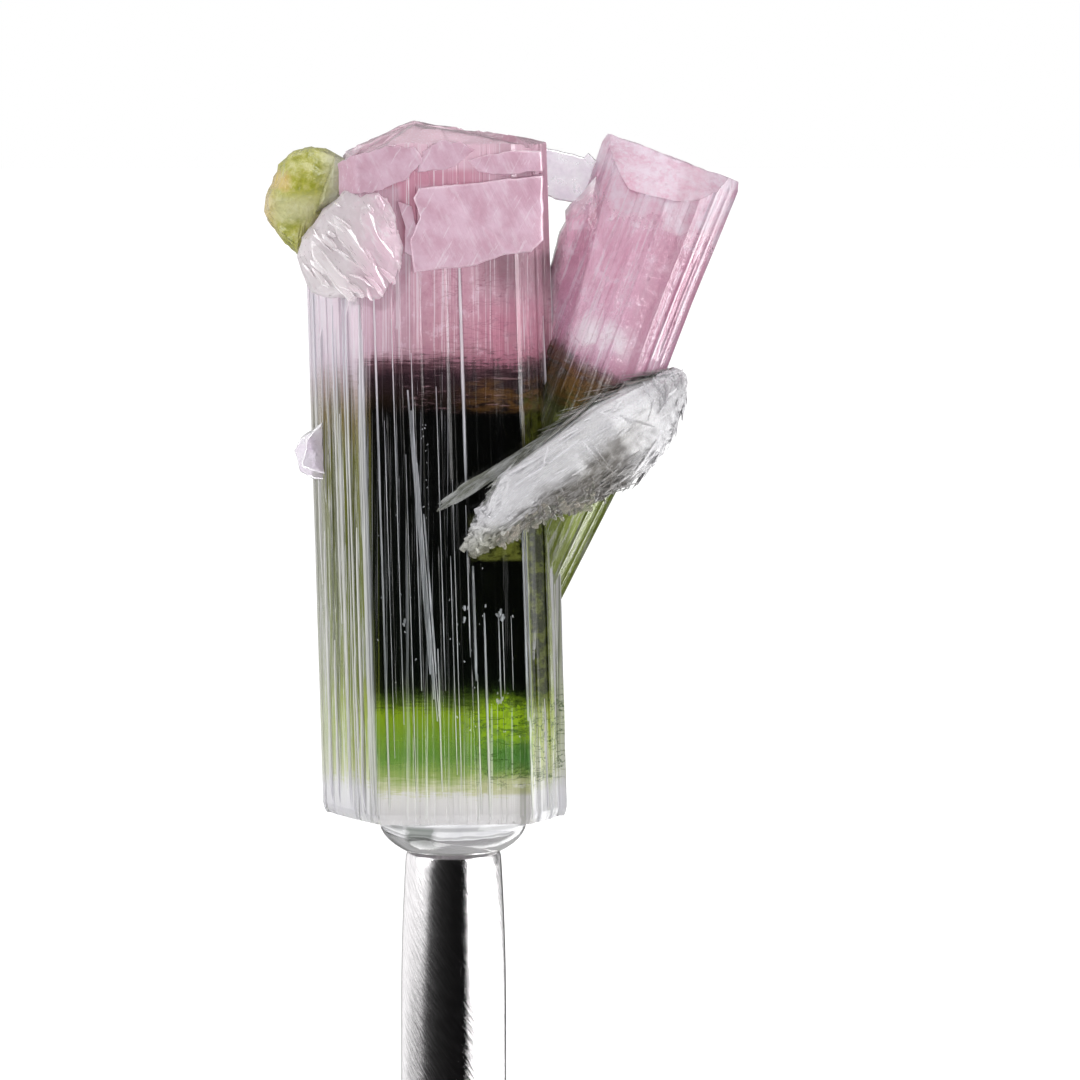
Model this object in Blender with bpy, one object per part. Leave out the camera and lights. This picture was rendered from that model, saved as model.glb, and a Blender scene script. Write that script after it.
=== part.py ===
"""A colour-zoned tourmaline specimen, held by a drop of clear adhesive on the end of a metal rod.

Everything that grew together is one solid: the tall striated prism, the shorter prism that leans away
from it, the green crystal and the glassy crusts round their tops, and the sheaf of white blades between
them. Sizes are in millimetres, and each object is scaled to metres as it is made. X runs to the right,
Y away from the viewer and Z up, from the middle of the rod's lower end.
"""

import math
import random

import bmesh
import bpy
from mathutils import Matrix, Vector

MM = 0.001
GAP = 0.3
RANDOM_SEED = 11

# The holder: a round rod with a slight taper at its upper end, and the drop on it
ROD_LENGTH = 20.0
ROD_RADIUS = 3.175
ROD_TIP_RADIUS = 2.85
ROD_TAPER_START = 10.0
ROD_TAPER_STEPS = 8
ROD_BEVEL = 0.25
ADHESIVE_HEIGHT = 1.7
ADHESIVE_RADIUS = 4.45
ROUND_SIDES = 48

# The tall prism: a hexagon with striated sides, a worn foot and a top broken along four slopes
PRISM_BASE = Vector((-0.45, 0.0, ROD_LENGTH + GAP + ADHESIVE_HEIGHT + GAP))
PRISM_LEAN = -0.0298
PRISM_HEIGHT = 41.8
PRISM_CORNERS = ((7.3, -0.3), (3.6, 5.9), (-3.9, 5.7), (-7.3, 0.3), (-3.8, -6.1), (4.9, -5.75))
PRISM_SECTIONS = ((0.0, 0.965), (0.35, 1.0), (14.0, 0.997), (28.0, 0.994), (PRISM_HEIGHT + 1.0, 0.99))
PRISM_PEAK = Vector((-2.3, 0.0, 63.75))
TOP_SLOPES = ((0.0, 0.47, 0.05), (0.0, -0.165, 0.04), (-3.4, -0.05, 0.42), (2.5, -0.02, -0.30))
LEFT_STEP = ((-11.0, -6.55), (-8.0, 8.0), (57.0, 66.0))

# Growth ridges on both prisms
RIDGE_WIDTH = 0.95
RIDGE_LIFT = (-0.12, 0.02)
GROOVE_DEPTH = 0.22
SIDE_BULGE = 0.35

# The leaning prism: a thick-rimmed hexagon that narrows into the tall prism's side
LEANING_TOP = Vector((13.2, 1.0, 61.6))
LEANING_TILT = math.radians(20.6)
LEANING_DRIFT = -0.03
LEANING_RADIUS = 4.1
LEANING_DEPTH_SCALE = 0.96
LEANING_ANGLES = (2, 57, 118, 178, 242, 301)
LEANING_SECTIONS = ((0.0, 0.975), (0.35, 1.0), (2.7, 1.03), (3.3, 0.985), (18.0, 0.985), (31.5, 0.6))

# The sheaf of blades: middle, half height and half thickness from its left tip to its right end
SHEAF_STATIONS = (
    ((1.0, -6.3, 38.6), 0.4, 0.5),
    ((2.2, -6.5, 39.7), 1.1, 0.9),
    ((4.0, -6.6, 41.8), 2.0, 1.5),
    ((6.7, -5.8, 43.4), 2.4, 2.0),
    ((9.3, -4.6, 44.8), 2.9, 2.2),
    ((11.3, -3.0, 46.2), 2.5, 2.0),
    ((12.7, -1.4, 47.6), 1.5, 1.5),
    ((13.5, -0.2, 48.7), 0.6, 0.8),
)
SHEAF_RINGS = 13
SHEAF_SIDES = 12
SHEAF_BLADES = 46
BLADE_THICKNESS = 0.28
BLADE_SHAPE = ((0.0, -0.3), (0.55, -0.5), (0.93, -0.42), (1.0, 0.1), (0.85, 0.5), (0.4, 0.46), (0.0, 0.3))
BLADE_ANGLES = (0.0, 0.25, 0.6, 1.1, 1.6, 2.1, 2.6, 3.0)
ARM_TIPS = ((-0.75, -6.45, 41.0), (0.3, -6.45, 41.5), (0.9, -6.45, 40.2))
ARM_WIDTH = 0.8


def clear_scene():
    """Leaves no object from the startup file."""
    for old in list(bpy.data.objects):
        bpy.data.objects.remove(old, do_unlink=True)


def material(name, colour, roughness, metallic=0.0, transmission=0.0):
    """A plain Principled finish."""
    made = bpy.data.materials.new(name)
    made.use_nodes = True
    shader = made.node_tree.nodes["Principled BSDF"]
    shader.inputs["Base Color"].default_value = (*colour, 1.0)
    shader.inputs["Roughness"].default_value = roughness
    shader.inputs["Metallic"].default_value = metallic
    shader.inputs["Transmission Weight"].default_value = transmission
    made.diffuse_color = (*colour, 1.0)
    return made


def finish(bm, name):
    """Turns a mesh modelled in millimetres into an object in metres."""
    bmesh.ops.recalc_face_normals(bm, faces=bm.faces)
    bm.transform(Matrix.Scale(MM, 4))
    mesh = bpy.data.meshes.new(name)
    bm.to_mesh(mesh)
    bm.free()
    made = bpy.data.objects.new(name, mesh)
    bpy.context.scene.collection.objects.link(made)
    return made


# Shapes that several pieces share


def loft(rings):
    """A closed mesh through rings of equal point counts, with a flat cap on each end."""
    bm = bmesh.new()
    loops = [[bm.verts.new(point) for point in ring] for ring in rings]
    count = len(rings[0])
    for lower, upper in zip(loops, loops[1:]):
        for i in range(count):
            j = (i + 1) % count
            bm.faces.new((lower[i], lower[j], upper[j], upper[i]))
    bm.faces.new(loops[0][::-1])
    bm.faces.new(loops[-1])
    return bm


def turned(profile):
    """A turned solid about Z, from (radius, height) pairs that run upwards."""
    angles = [2 * math.pi * i / ROUND_SIDES for i in range(ROUND_SIDES)]
    return loft(
        [[(radius * math.cos(a), radius * math.sin(a), height) for a in angles] for radius, height in profile]
    )


def hull(points):
    """The convex solid round some points: a lump with flat faces."""
    bm = bmesh.new()
    for point in points:
        bm.verts.new(point)
    made = bmesh.ops.convex_hull(bm, input=bm.verts)
    inside = made["geom_interior"] + made["geom_unused"]
    spare = {item for item in inside if isinstance(item, bmesh.types.BMVert)}
    bmesh.ops.delete(bm, geom=list(spare), context="VERTS")
    return bm


def resized(outline, size):
    """A flat outline grown or shrunk about its middle."""
    centre = sum((Vector(p) for p in outline), Vector((0.0, 0.0))) / len(outline)
    return [centre + (Vector(p) - centre) * size for p in outline]


def lump(outline, middle_y, half_depth, rng, fullness=0.62):
    """A faceted lump that shows an (x, z) outline from the front, and narrows to its front and back."""
    points = []
    for depth, size in ((-1.0, fullness), (-0.45, 0.93), (0.0, 1.0), (0.5, 0.92), (1.0, fullness)):
        for corner in resized(outline, size * rng.uniform(0.97, 1.0)):
            points.append((corner.x, middle_y + depth * half_depth * rng.uniform(0.9, 1.0), corner.y))
    return hull(points)


def striated_outline(corners, scale, rng):
    """Points round a prism: uneven ridges with a shallow groove after each, on sides that bulge a little."""
    points = []
    corners = [Vector(corner) * scale for corner in corners]
    for start, end in zip(corners, corners[1:] + corners[:1]):
        side = end - start
        outward = Vector((side.y, -side.x)).normalized()
        widths = [rng.uniform(0.55, 1.6) for _ in range(max(3, round(side.length / RIDGE_WIDTH)))]
        reached = 0.0
        for width in widths:
            share = width / sum(widths)
            lift = rng.uniform(*RIDGE_LIFT)
            groove = -GROOVE_DEPTH * rng.uniform(0.5, 1.0)
            for step, height in ((0.0, lift), (0.72, lift), (0.86, groove)):
                along = reached + share * step
                bulge = SIDE_BULGE * 4 * along * (1 - along)
                points.append(start + side * along + outward * (bulge + (height if along > 0 else 0.0)))
            reached += share
    return points


# The two prisms


def prism_point(outline_point, height):
    """A point of the tall prism's outline, carried up its lean."""
    return PRISM_BASE + Vector((outline_point.x + PRISM_LEAN * height, outline_point.y, height))


def cut_flat(bm, point, normal):
    """Cuts a mesh off on the side that the normal points to, and closes it with a flat face."""
    made = bmesh.ops.bisect_plane(
        bm,
        geom=[*bm.verts, *bm.edges, *bm.faces],
        dist=1e-4,
        plane_co=point,
        plane_no=normal,
        clear_outer=True,
    )
    rim = [item for item in made["geom_cut"] if isinstance(item, bmesh.types.BMEdge)]
    bmesh.ops.edgeloop_fill(bm, edges=[edge for edge in rim if edge.is_boundary])


def tall_prism(rng):
    """The main crystal, whose name the joined solid keeps."""
    outline = striated_outline(PRISM_CORNERS, 1.0, rng)
    bm = loft([[prism_point(p * size, height) for p in outline] for height, size in PRISM_SECTIONS])
    for offset_y, slope_x, slope_y in TOP_SLOPES:
        cut_flat(bm, PRISM_PEAK + Vector((0.0, offset_y, 0.0)), Vector((-slope_x, -slope_y, 1.0)))
    return finish(bm, "tourmaline_cluster")


def left_step():
    """The block that is missing from the tall prism's top left."""
    xs, ys, zs = LEFT_STEP
    return finish(hull([(x, y, z) for x in xs for y in ys for z in zs]), "left_step")


def leaning_point(outline_point, down):
    """A point of the leaning prism, at a distance down its axis."""
    right = Vector((math.cos(LEANING_TILT), 0.0, -math.sin(LEANING_TILT)))
    along = Vector((-math.sin(LEANING_TILT), LEANING_DRIFT, -math.cos(LEANING_TILT)))
    return LEANING_TOP + along * down + right * outline_point.x + Vector((0, outline_point.y, 0))


def leaning_prism(rng):
    """The second crystal."""
    turns = [math.radians(angle) for angle in LEANING_ANGLES]
    corners = [(math.cos(turn), math.sin(turn) * LEANING_DEPTH_SCALE) for turn in turns]
    outline = striated_outline(corners, LEANING_RADIUS, rng)
    sections = reversed(LEANING_SECTIONS)
    bm = loft([[leaning_point(p * size, down) for p in outline] for down, size in sections])
    return finish(bm, "leaning_prism")


def leaning_flank(rng):
    """The leaning prism's inner side, which widens towards the tall prism."""
    outer = ((8.4, 60.6), (6.95, 58.7), (6.6, 57.7), (6.05, 56.0), (5.7, 54.6), (5.5, 50.2))
    inner = ((7.6, 50.2), (9.2, 59.0))
    return finish(lump(outer + inner, 0.3, 2.3, rng, fullness=0.9), "leaning_flank")


def rim_bump(rng):
    """The rounded corner that stands out of the leaning prism's rim."""
    upper = ((14.4, 61.5), (15.7, 61.2), (16.7, 60.6), (17.1, 59.9))
    lower = ((16.9, 59.2), (16.2, 58.2), (14.6, 58.6))
    return finish(lump(upper + lower, 0.2, 2.4, rng), "rim_bump")


# The crystals and crusts round the tops


def green_crystal(rng):
    """The yellow-green crystal at the top left."""
    outline = (
        (-11.35, 58.4),
        (-11.2, 59.4),
        (-10.35, 61.3),
        (-9.5, 62.2),
        (-8.4, 62.5),
        (-7.5, 62.35),
        (-6.4, 61.7),
        (-6.35, 59.9),
        (-7.5, 58.6),
        (-9.2, 55.8),
        (-9.95, 56.5),
        (-11.05, 57.9),
    )
    return finish(lump(outline, -0.9, 2.7, rng), "green_crystal")


def left_crust(rng):
    """The clear crust that sits between the green crystal and the tall prism."""
    outline = (
        (-9.3, 56.1),
        (-8.9, 57.2),
        (-7.5, 59.1),
        (-6.1, 60.1),
        (-3.5, 60.4),
        (-2.6, 59.2),
        (-2.2, 57.6),
        (-2.3, 55.4),
        (-2.9, 53.6),
        (-4.1, 52.7),
        (-6.3, 53.4),
        (-8.3, 54.4),
        (-9.0, 55.2),
    )
    return finish(lump(outline, -4.2, 3.6, rng, fullness=0.5), "left_crust")


def front_plate():
    """The frosted plate on the tall prism's front face, under its top."""
    outline = ((-2.3, 59.95), (0.4, 60.2), (3.4, 60.6), (4.6, 60.6), (4.6, 56.4), (1.0, 55.2), (-2.2, 54.9))
    layers = ((-7.0, 0.96), (-5.0, 1.0))
    return finish(hull([(p.x, y, p.y) for y, size in layers for p in resized(outline, size)]), "front_plate")


def flank_plate():
    """The frosted plate that carries on round the tall prism's right edge."""
    outer = ((3.6, -6.7, 60.3), (5.4, -4.4, 61.0), (5.9, -3.2, 57.0), (5.5, -4.2, 56.3), (3.6, -6.5, 55.9))
    inset = 1.2
    return finish(hull([(x - d, y + d, z) for d in (0.0, inset) for x, y, z in outer]), "flank_plate")


def bridge(rng):
    """The thin flake that joins the two prisms behind their tops."""
    upper = ((4.6, 62.1), (6.6, 62.0), (8.4, 61.6), (9.4, 61.0))
    lower = ((9.3, 59.3), (7.4, 58.8), (6.3, 59.1), (4.6, 59.2))
    return finish(lump(upper + lower, 1.5, 0.7, rng, fullness=0.9), "bridge")


def left_flake(rng):
    """The rough flake on the tall prism's left edge, halfway up."""
    outer = ((-8.3, 42.5), (-9.1, 42.9), (-9.5, 44.2), (-9.1, 44.9), (-8.5, 45.3))
    inner = ((-7.4, 45.3), (-7.4, 42.4))
    return finish(lump(outer + inner, -0.2, 1.2, rng), "left_flake")


def front_ridge():
    """The one broad ridge that runs down the front, a little out of line with the rest."""
    stations = (
        (28.5, -1.0, 0.5, -0.3),
        (38.0, -1.75, 0.9, 0.16),
        (46.5, -2.4, 0.6, 0.1),
        (48.6, -2.55, 0.5, -0.3),
    )
    face_y = -6.48
    root_y = -5.4
    rings = []
    for z, x, width, lift in stations:
        left = x - width / 2
        right = x + width / 2
        front = face_y - lift
        rings.append([(left, front, z), (right, front, z), (right, root_y, z), (left, root_y, z)])
    return finish(loft(rings), "front_ridge")


# The sheaf of white blades


def sheaf_spine(t):
    """The middle, half height and half thickness of the sheaf at t, from 0 at its left tip to 1."""
    place = t * (len(SHEAF_STATIONS) - 1)
    i = min(int(place), len(SHEAF_STATIONS) - 2)
    f = place - i
    middle_a, height_a, thickness_a = SHEAF_STATIONS[i]
    middle_b, height_b, thickness_b = SHEAF_STATIONS[i + 1]
    middle = Vector(middle_a).lerp(Vector(middle_b), f)
    return middle, height_a + (height_b - height_a) * f, thickness_a + (thickness_b - thickness_a) * f


def sheaf_point(t, angle, size=1.0):
    """A point on the sheaf's skin. Angle 0 is its top edge, and a quarter turn is its front."""
    middle, height, thickness = sheaf_spine(t)
    ahead = sheaf_spine(min(t + 0.05, 1.0))[0]
    behind = sheaf_spine(max(t - 0.05, 0.0))[0]
    along = (ahead - behind).normalized()
    front = Vector((0.25, -1.0, 0.0)).normalized() if t < 0.5 else Vector((0.6, -0.8, 0.0))
    up = front.cross(along).normalized()
    up = up if up.z > 0 else -up
    return middle + up * (height * size * math.cos(angle)) + front * (thickness * size * math.sin(angle))


def sheaf_body(rng):
    """The thick middle of the sheaf, which the blades stand out of."""
    rings = []
    for i in range(SHEAF_RINGS):
        turns = [2 * math.pi * k / SHEAF_SIDES for k in range(SHEAF_SIDES)]
        rings.append([sheaf_point(i / (SHEAF_RINGS - 1), turn, rng.uniform(0.86, 1.0)) for turn in turns])
    return finish(loft(rings), "sheaf_body")


def blade(root, tip, across, width, thickness, name):
    """One flat blade: narrow at its root, widest past its middle, with a slanted point."""
    length = (tip - root).length
    along = (tip - root).normalized()
    across = (across - along * across.dot(along)).normalized()
    face = along.cross(across) * thickness
    shape = [root + along * (length * a) + across * (width * b) for a, b in BLADE_SHAPE]
    return finish(loft([[point + face * side for point in shape] for side in (-0.5, 0.5)]), name)


def sheaf_blades(rng):
    """Blades that lie along the sheaf, fan out at its edges and leave it ragged."""
    made = []
    for i in range(SHEAF_BLADES):
        t = 0.06 + 0.84 * (i + rng.random()) / SHEAF_BLADES
        angle = rng.choice(BLADE_ANGLES) + rng.uniform(-0.2, 0.2)
        root = sheaf_point(max(t - 0.12, 0.0), angle, 0.80)
        tip = sheaf_point(min(t + 0.08, 1.0), angle, 1.05 + 0.08 * rng.random())
        across = sheaf_point(t, angle + 0.5) - sheaf_point(t, angle - 0.5)
        width = rng.uniform(0.7, 1.4)
        thickness = BLADE_THICKNESS * rng.uniform(0.8, 1.3)
        made.append(blade(root, tip, across, width, thickness, f"blade_{i:02d}"))
    upright = Vector((-0.4, 0.0, 1.0))
    for i, tip in enumerate(ARM_TIPS):
        root = sheaf_point(0.30 + 0.05 * i, 0.3, 0.85)
        made.append(blade(root, Vector(tip), upright, ARM_WIDTH, BLADE_THICKNESS, f"arm_{i}"))
    return made


# The three pieces


def cluster(finish_material):
    """The whole grown specimen, joined into one solid."""
    rng = random.Random(RANDOM_SEED)
    body = tall_prism(rng)
    growths = [
        leaning_prism(rng),
        leaning_flank(rng),
        rim_bump(rng),
        green_crystal(rng),
        left_crust(rng),
        front_plate(),
        flank_plate(),
        bridge(rng),
        left_flake(rng),
        front_ridge(),
        sheaf_body(rng),
        *sheaf_blades(rng),
    ]
    for operation, helpers in (("DIFFERENCE", [left_step()]), ("UNION", growths)):
        group = bpy.data.collections.new(f"{operation.lower()}_helpers")
        bpy.context.scene.collection.children.link(group)
        for helper in helpers:
            bpy.context.scene.collection.objects.unlink(helper)
            group.objects.link(helper)
            helper.hide_render = True
            helper.display_type = "WIRE"
        joined = body.modifiers.new(operation.lower(), "BOOLEAN")
        joined.operation = operation
        joined.operand_type = "COLLECTION"
        joined.collection = group
        joined.solver = "EXACT"
    body.data.materials.append(finish_material)
    return body


def adhesive(finish_material):
    """The clear drop between the rod and the crystal's foot, wider where it meets the crystal."""
    low = ROD_LENGTH + GAP
    profile = (
        (ROD_TIP_RADIUS - 0.15, low),
        (ROD_TIP_RADIUS + 0.45, low + 0.22),
        (ADHESIVE_RADIUS - 0.55, low + 0.62),
        (ADHESIVE_RADIUS - 0.12, low + 1.15),
        (ADHESIVE_RADIUS, low + ADHESIVE_HEIGHT),
    )
    made = finish(turned(profile), "adhesive")
    made.data.materials.append(finish_material)
    return made


def rod(finish_material):
    """The round rod, which narrows a little towards the tip that carries the crystal."""
    profile = [(ROD_RADIUS - ROD_BEVEL, 0.0), (ROD_RADIUS, ROD_BEVEL), (ROD_RADIUS, ROD_TAPER_START)]
    taper_end = ROD_LENGTH - ROD_BEVEL
    for i in range(1, ROD_TAPER_STEPS + 1):
        share = i / ROD_TAPER_STEPS
        radius = ROD_RADIUS - (ROD_RADIUS - ROD_TIP_RADIUS) * share**2
        profile.append((radius, ROD_TAPER_START + (taper_end - ROD_TAPER_START) * share))
    profile.append((ROD_TIP_RADIUS - ROD_BEVEL, ROD_LENGTH))
    made = finish(turned(profile), "holder_rod")
    made.data.materials.append(finish_material)
    return made


def main():
    clear_scene()
    cluster(material("tourmaline", (0.80, 0.55, 0.66), 0.12, transmission=0.6))
    adhesive(material("clear_adhesive", (0.93, 0.94, 0.95), 0.05, transmission=1.0))
    rod(material("polished_steel", (0.78, 0.78, 0.80), 0.14, metallic=1.0))


main()
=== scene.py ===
import math
import random

import bmesh
import bpy
import numpy as np
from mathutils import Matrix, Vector, noise

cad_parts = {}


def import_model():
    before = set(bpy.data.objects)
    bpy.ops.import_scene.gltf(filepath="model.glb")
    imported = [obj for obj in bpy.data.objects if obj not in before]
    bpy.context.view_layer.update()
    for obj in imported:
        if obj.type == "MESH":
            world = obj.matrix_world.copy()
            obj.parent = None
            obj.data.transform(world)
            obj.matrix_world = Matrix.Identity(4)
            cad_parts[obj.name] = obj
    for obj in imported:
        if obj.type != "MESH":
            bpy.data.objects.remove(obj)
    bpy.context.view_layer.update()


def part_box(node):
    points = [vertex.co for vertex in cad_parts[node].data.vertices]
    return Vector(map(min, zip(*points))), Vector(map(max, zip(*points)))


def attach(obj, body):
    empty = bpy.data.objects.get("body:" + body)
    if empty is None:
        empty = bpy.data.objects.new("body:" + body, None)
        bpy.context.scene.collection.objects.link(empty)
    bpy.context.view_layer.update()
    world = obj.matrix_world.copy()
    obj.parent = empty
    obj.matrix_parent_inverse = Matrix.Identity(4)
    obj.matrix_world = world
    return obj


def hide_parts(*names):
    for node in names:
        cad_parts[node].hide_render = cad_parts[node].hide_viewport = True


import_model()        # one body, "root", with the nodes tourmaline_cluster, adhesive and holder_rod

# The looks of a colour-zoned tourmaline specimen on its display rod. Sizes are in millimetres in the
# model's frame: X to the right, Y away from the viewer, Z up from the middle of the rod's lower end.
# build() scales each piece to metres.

MM = 0.001
CLUSTER = "tourmaline_cluster"
FULL_TURN = 2 * math.pi

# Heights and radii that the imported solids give
CLUSTER_LOW, CLUSTER_HIGH = (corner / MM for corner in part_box(CLUSTER))
ROD_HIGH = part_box("holder_rod")[1] / MM
FOOT_Z = CLUSTER_LOW.z
ROD_LENGTH = ROD_HIGH.z
ROD_RADIUS = ROD_HIGH.x

# The tall prism
PRISM_BASE = Vector((-0.45, 0.0, FOOT_Z))
PRISM_LEAN = -0.0298
PRISM_CORNERS = ((7.3, -0.3), (3.6, 5.9), (-3.9, 5.7), (-7.3, 0.3), (-3.8, -6.1), (5.3, -5.6))
# height above the foot and size of the outline there
PRISM_SECTIONS = ((0.0, 0.972), (0.25, 0.99), (0.6, 1.0), (14.0, 0.997), (28.0, 0.994), (43.0, 0.99))
PRISM_SHOULDER = 33.0      # height above the foot up to which the ridges run evenly
PRISM_HEIGHT = 41.0
PRISM_PEAK = Vector((-2.3, 0.0, 63.75))
# planes of the broken top: middle in Y, slope along X and slope along Y
TOP_SLOPES = ((0.0, 0.47, 0.05), (0.0, -0.165, 0.04), (-3.4, -0.05, 0.42), (2.5, -0.02, -0.30))
CHIP_RANDOM = random.Random(41)
TOP_CHIPS = [
    (
        # middle in X and Y, height and the two slopes of a chip in the top
        CHIP_RANDOM.uniform(-8.5, 6.0),
        CHIP_RANDOM.uniform(-6.5, 6.5),
        CHIP_RANDOM.uniform(-0.28, 0.08),
        CHIP_RANDOM.uniform(-0.09, 0.09),
        CHIP_RANDOM.uniform(-0.09, 0.09),
    )
    for _ in range(34)
]
LEFT_STEP_X = -6.55
LEFT_STEP_Z = 57.0
SIDE_BULGE = 0.22
SAMPLE_STEP = 0.22         # widest and narrowest spacing of the points round a prism
LEAST_STEP = 0.028
FRONT_SIDE = 4
LEFT_FLANK = 3
RIGHT_FLANK = 5

# The leaning prism
LEANING_TOP = Vector((13.2, 1.0, 61.6))
LEANING_TILT = math.radians(20.6)
LEANING_DRIFT = -0.03
LEANING_RADIUS = 4.1
LEANING_DEPTH_SCALE = 0.96
LEANING_ANGLES = (2, 57, 118, 178, 242, 301)
LEANING_LENGTH = 31.5
# height up the axis and size of the outline there
LEANING_SECTIONS = ((0.0, 0.60), (13.5, 0.985), (24.0, 1.0), (30.0, 1.05), (31.0, 1.055), (31.5, 1.02))
LEANING_SHOULDER = 27.4

# The sheaf of blades: middle, half height and half thickness from its left tip to its right end
SHEAF_STATIONS = (
    ((1.0, -6.3, 38.6), 0.4, 0.5),
    ((2.2, -6.5, 39.9), 1.0, 0.9),
    ((4.0, -6.6, 42.0), 1.85, 1.5),
    ((6.7, -5.8, 43.4), 2.4, 2.0),
    ((9.3, -4.6, 44.8), 2.9, 2.2),
    ((11.3, -3.0, 46.2), 2.5, 2.0),
    ((12.7, -1.4, 47.6), 1.5, 1.5),
    ((13.5, -0.2, 48.7), 0.6, 0.8),
)

# The view of the photograph
VIEW_TARGET = Vector((5.22, 0.0, 38.74))
VIEW_ELEVATION = math.radians(4.8)
VIEW_DISTANCE = 350.0
VIEW_WIDTH = 64.8
SENSOR = 36.0
SOFTBOX = 5.0              # brightness of the softbox at the right, as reflections see it
FLOOR_REACH = 3000.0


# Meshes


class Mesh:
    """Points in millimetres and faces, gathered for one piece."""

    def __init__(self):
        self.points = []
        self.faces = []

    def add(self, points, faces):
        start = len(self.points)
        self.points.extend(tuple(point) for point in points)
        self.faces.extend(tuple(start + i for i in face) for face in faces)

    def tube(self, rings, ends=True):
        """A closed skin through rings of equal point counts, with or without a face on each end."""
        count = len(rings[0])
        faces = []
        for row in range(len(rings) - 1):
            low = row * count
            for i in range(count):
                j = (i + 1) % count
                faces.append((low + i, low + j, low + count + j, low + count + i))
        if ends:
            last = (len(rings) - 1) * count
            faces.append(tuple(range(count))[::-1])
            faces.append(tuple(range(last, last + count)))
        self.add([point for ring in rings for point in ring], faces)


def linked(name, data):
    """A new object of the scene that shows the data."""
    made = bpy.data.objects.new(name, data)
    bpy.context.scene.collection.objects.link(made)
    return made


def build(mesh, name, material, nodes, sharp_angle):
    """Makes a piece of gathered points and faces, and ties it to the frame."""
    data = bpy.data.meshes.new(name)
    data.from_pydata([(x * MM, y * MM, z * MM) for x, y, z in mesh.points], [], mesh.faces)
    data.validate()
    if sharp_angle is not None:
        data.shade_smooth()
        data.set_sharp_from_angle(angle=math.radians(sharp_angle))
    data.materials.append(material)
    made = linked(name, data)
    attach(made, "root")
    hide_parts(*nodes)


def roughness_of(point, size, seed):
    """Smooth noise from about -1 to 1 at a point."""
    return noise.noise(Vector(point) / size + Vector((seed * 7.31, seed * 3.17, seed * 5.73)))


def between(stations, place):
    """Linear values between (place, value) stations."""
    return np.interp(place, [p for p, _ in stations], [v for _, v in stations])


# Striated prisms


class Striae:
    """A prism's outline and the growth ridges on it. Distances s run round the outline in millimetres."""

    def __init__(self, corners, bulge):
        self.corners = [Vector(corner) for corner in corners]
        self.sides = [b - a for a, b in zip(self.corners, self.corners[1:] + self.corners[:1])]
        self.starts = np.concatenate([[0.0], np.cumsum([side.length for side in self.sides])])
        self.perimeter = self.starts[-1]
        self.bulge = bulge
        self.ridges = []

    def place(self, side, share):
        return self.starts[side] + self.sides[side].length * share

    def ridge(self, middle, width, lifts, low, high, taper, edge=0.06):
        """Adds one flat-topped growth ridge, whose two edges may be lifted by different amounts."""
        self.ridges.append((middle - width / 2, middle + width / 2, edge, *lifts, low, high, taper))

    def scatter(self, rng, count, low, high):
        """Adds uneven ridges all round, most of them the prism's full length."""
        for _ in range(count):
            width = min(rng.lognormvariate(-1.05, 0.6), 1.3)
            lift = rng.uniform(-0.05, 0.11)
            tilt = rng.gauss(0.0, 0.11) * width
            bottom = low - 5.0
            top = high + 5.0
            if rng.random() < 0.55:
                bottom = rng.uniform(low - 8.0, high)
                top = bottom + rng.uniform(3.0, 26.0)
            edge = rng.uniform(0.03, 0.08)
            middle = rng.uniform(0.0, self.perimeter)
            self.ridge(middle, width, (lift - tilt, lift + tilt), bottom, top, rng.uniform(0.15, 1.6), edge)

    def samples(self):
        """Distances round the outline that follow every ridge's edges."""
        places = []
        for start, end, edge, *_ in self.ridges:
            places += [start - edge, start, end, end + edge]
        places += list(np.arange(0.0, self.perimeter, SAMPLE_STEP))
        places += list(self.starts[:-1])
        kept = []
        for place in sorted(p % self.perimeter for p in places):
            if not kept or place - kept[-1] > LEAST_STEP:
                kept.append(place)
        return np.array(kept)

    def flat(self, s):
        """Points and outward normals of the outline without ridges."""
        s = np.asarray(s) % self.perimeter
        side = np.clip(np.searchsorted(self.starts, s, side="right") - 1, 0, len(self.sides) - 1)
        starts = np.array([(c.x, c.y) for c in self.corners])[side]
        runs = np.array([(v.x, v.y) for v in self.sides])[side]
        lengths = np.hypot(runs[:, 0], runs[:, 1])
        t = (s - self.starts[side]) / lengths
        normals = np.stack([runs[:, 1], -runs[:, 0]], axis=1) / lengths[:, None]
        bulge = self.bulge * 4 * t * (1 - t)
        return starts + runs * t[:, None] + normals * bulge[:, None], normals

    def relief(self, s, heights):
        """How far the ridges stand out at each distance s (rows) and height (columns)."""
        s = np.asarray(s)[:, None]
        total = np.zeros(np.broadcast(s, heights).shape)
        for start, end, edge, lift_a, lift_b, low, high, taper in self.ridges:
            for shift in (-self.perimeter, 0.0, self.perimeter):
                places = [start - edge + shift, start + shift, end + shift, end + edge + shift]
                across = np.interp(s, places, [0.0, lift_a, lift_b, 0.0])
                if np.any(across):
                    along = np.clip((heights - low) / taper, 0, 1) * np.clip((high - heights) / taper, 0, 1)
                    total += across * along
        return total


CAP_SIZES = (0.985, 0.95, 0.9, 0.84, 0.77, 0.69, 0.6, 0.5, 0.4, 0.3, 0.18, 0.0)


def prism_levels(rng, low, high, count):
    """Heights with uneven steps."""
    steps = np.array([rng.uniform(0.6, 1.4) for _ in range(count)])
    return low + (high - low) * np.concatenate([[0.0], np.cumsum(steps) / steps.sum()])


def stacked(levels, shoulder, tops, count):
    """Heights for each point: the shared levels, then count even steps from the shoulder to its top."""
    tops = np.array(tops)[:, None]
    above = shoulder + (tops - shoulder) * np.linspace(0.0, 1.0, count + 1)[None, 1:]
    return np.concatenate([np.tile(levels, (len(tops), 1)), above], axis=1)


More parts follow.
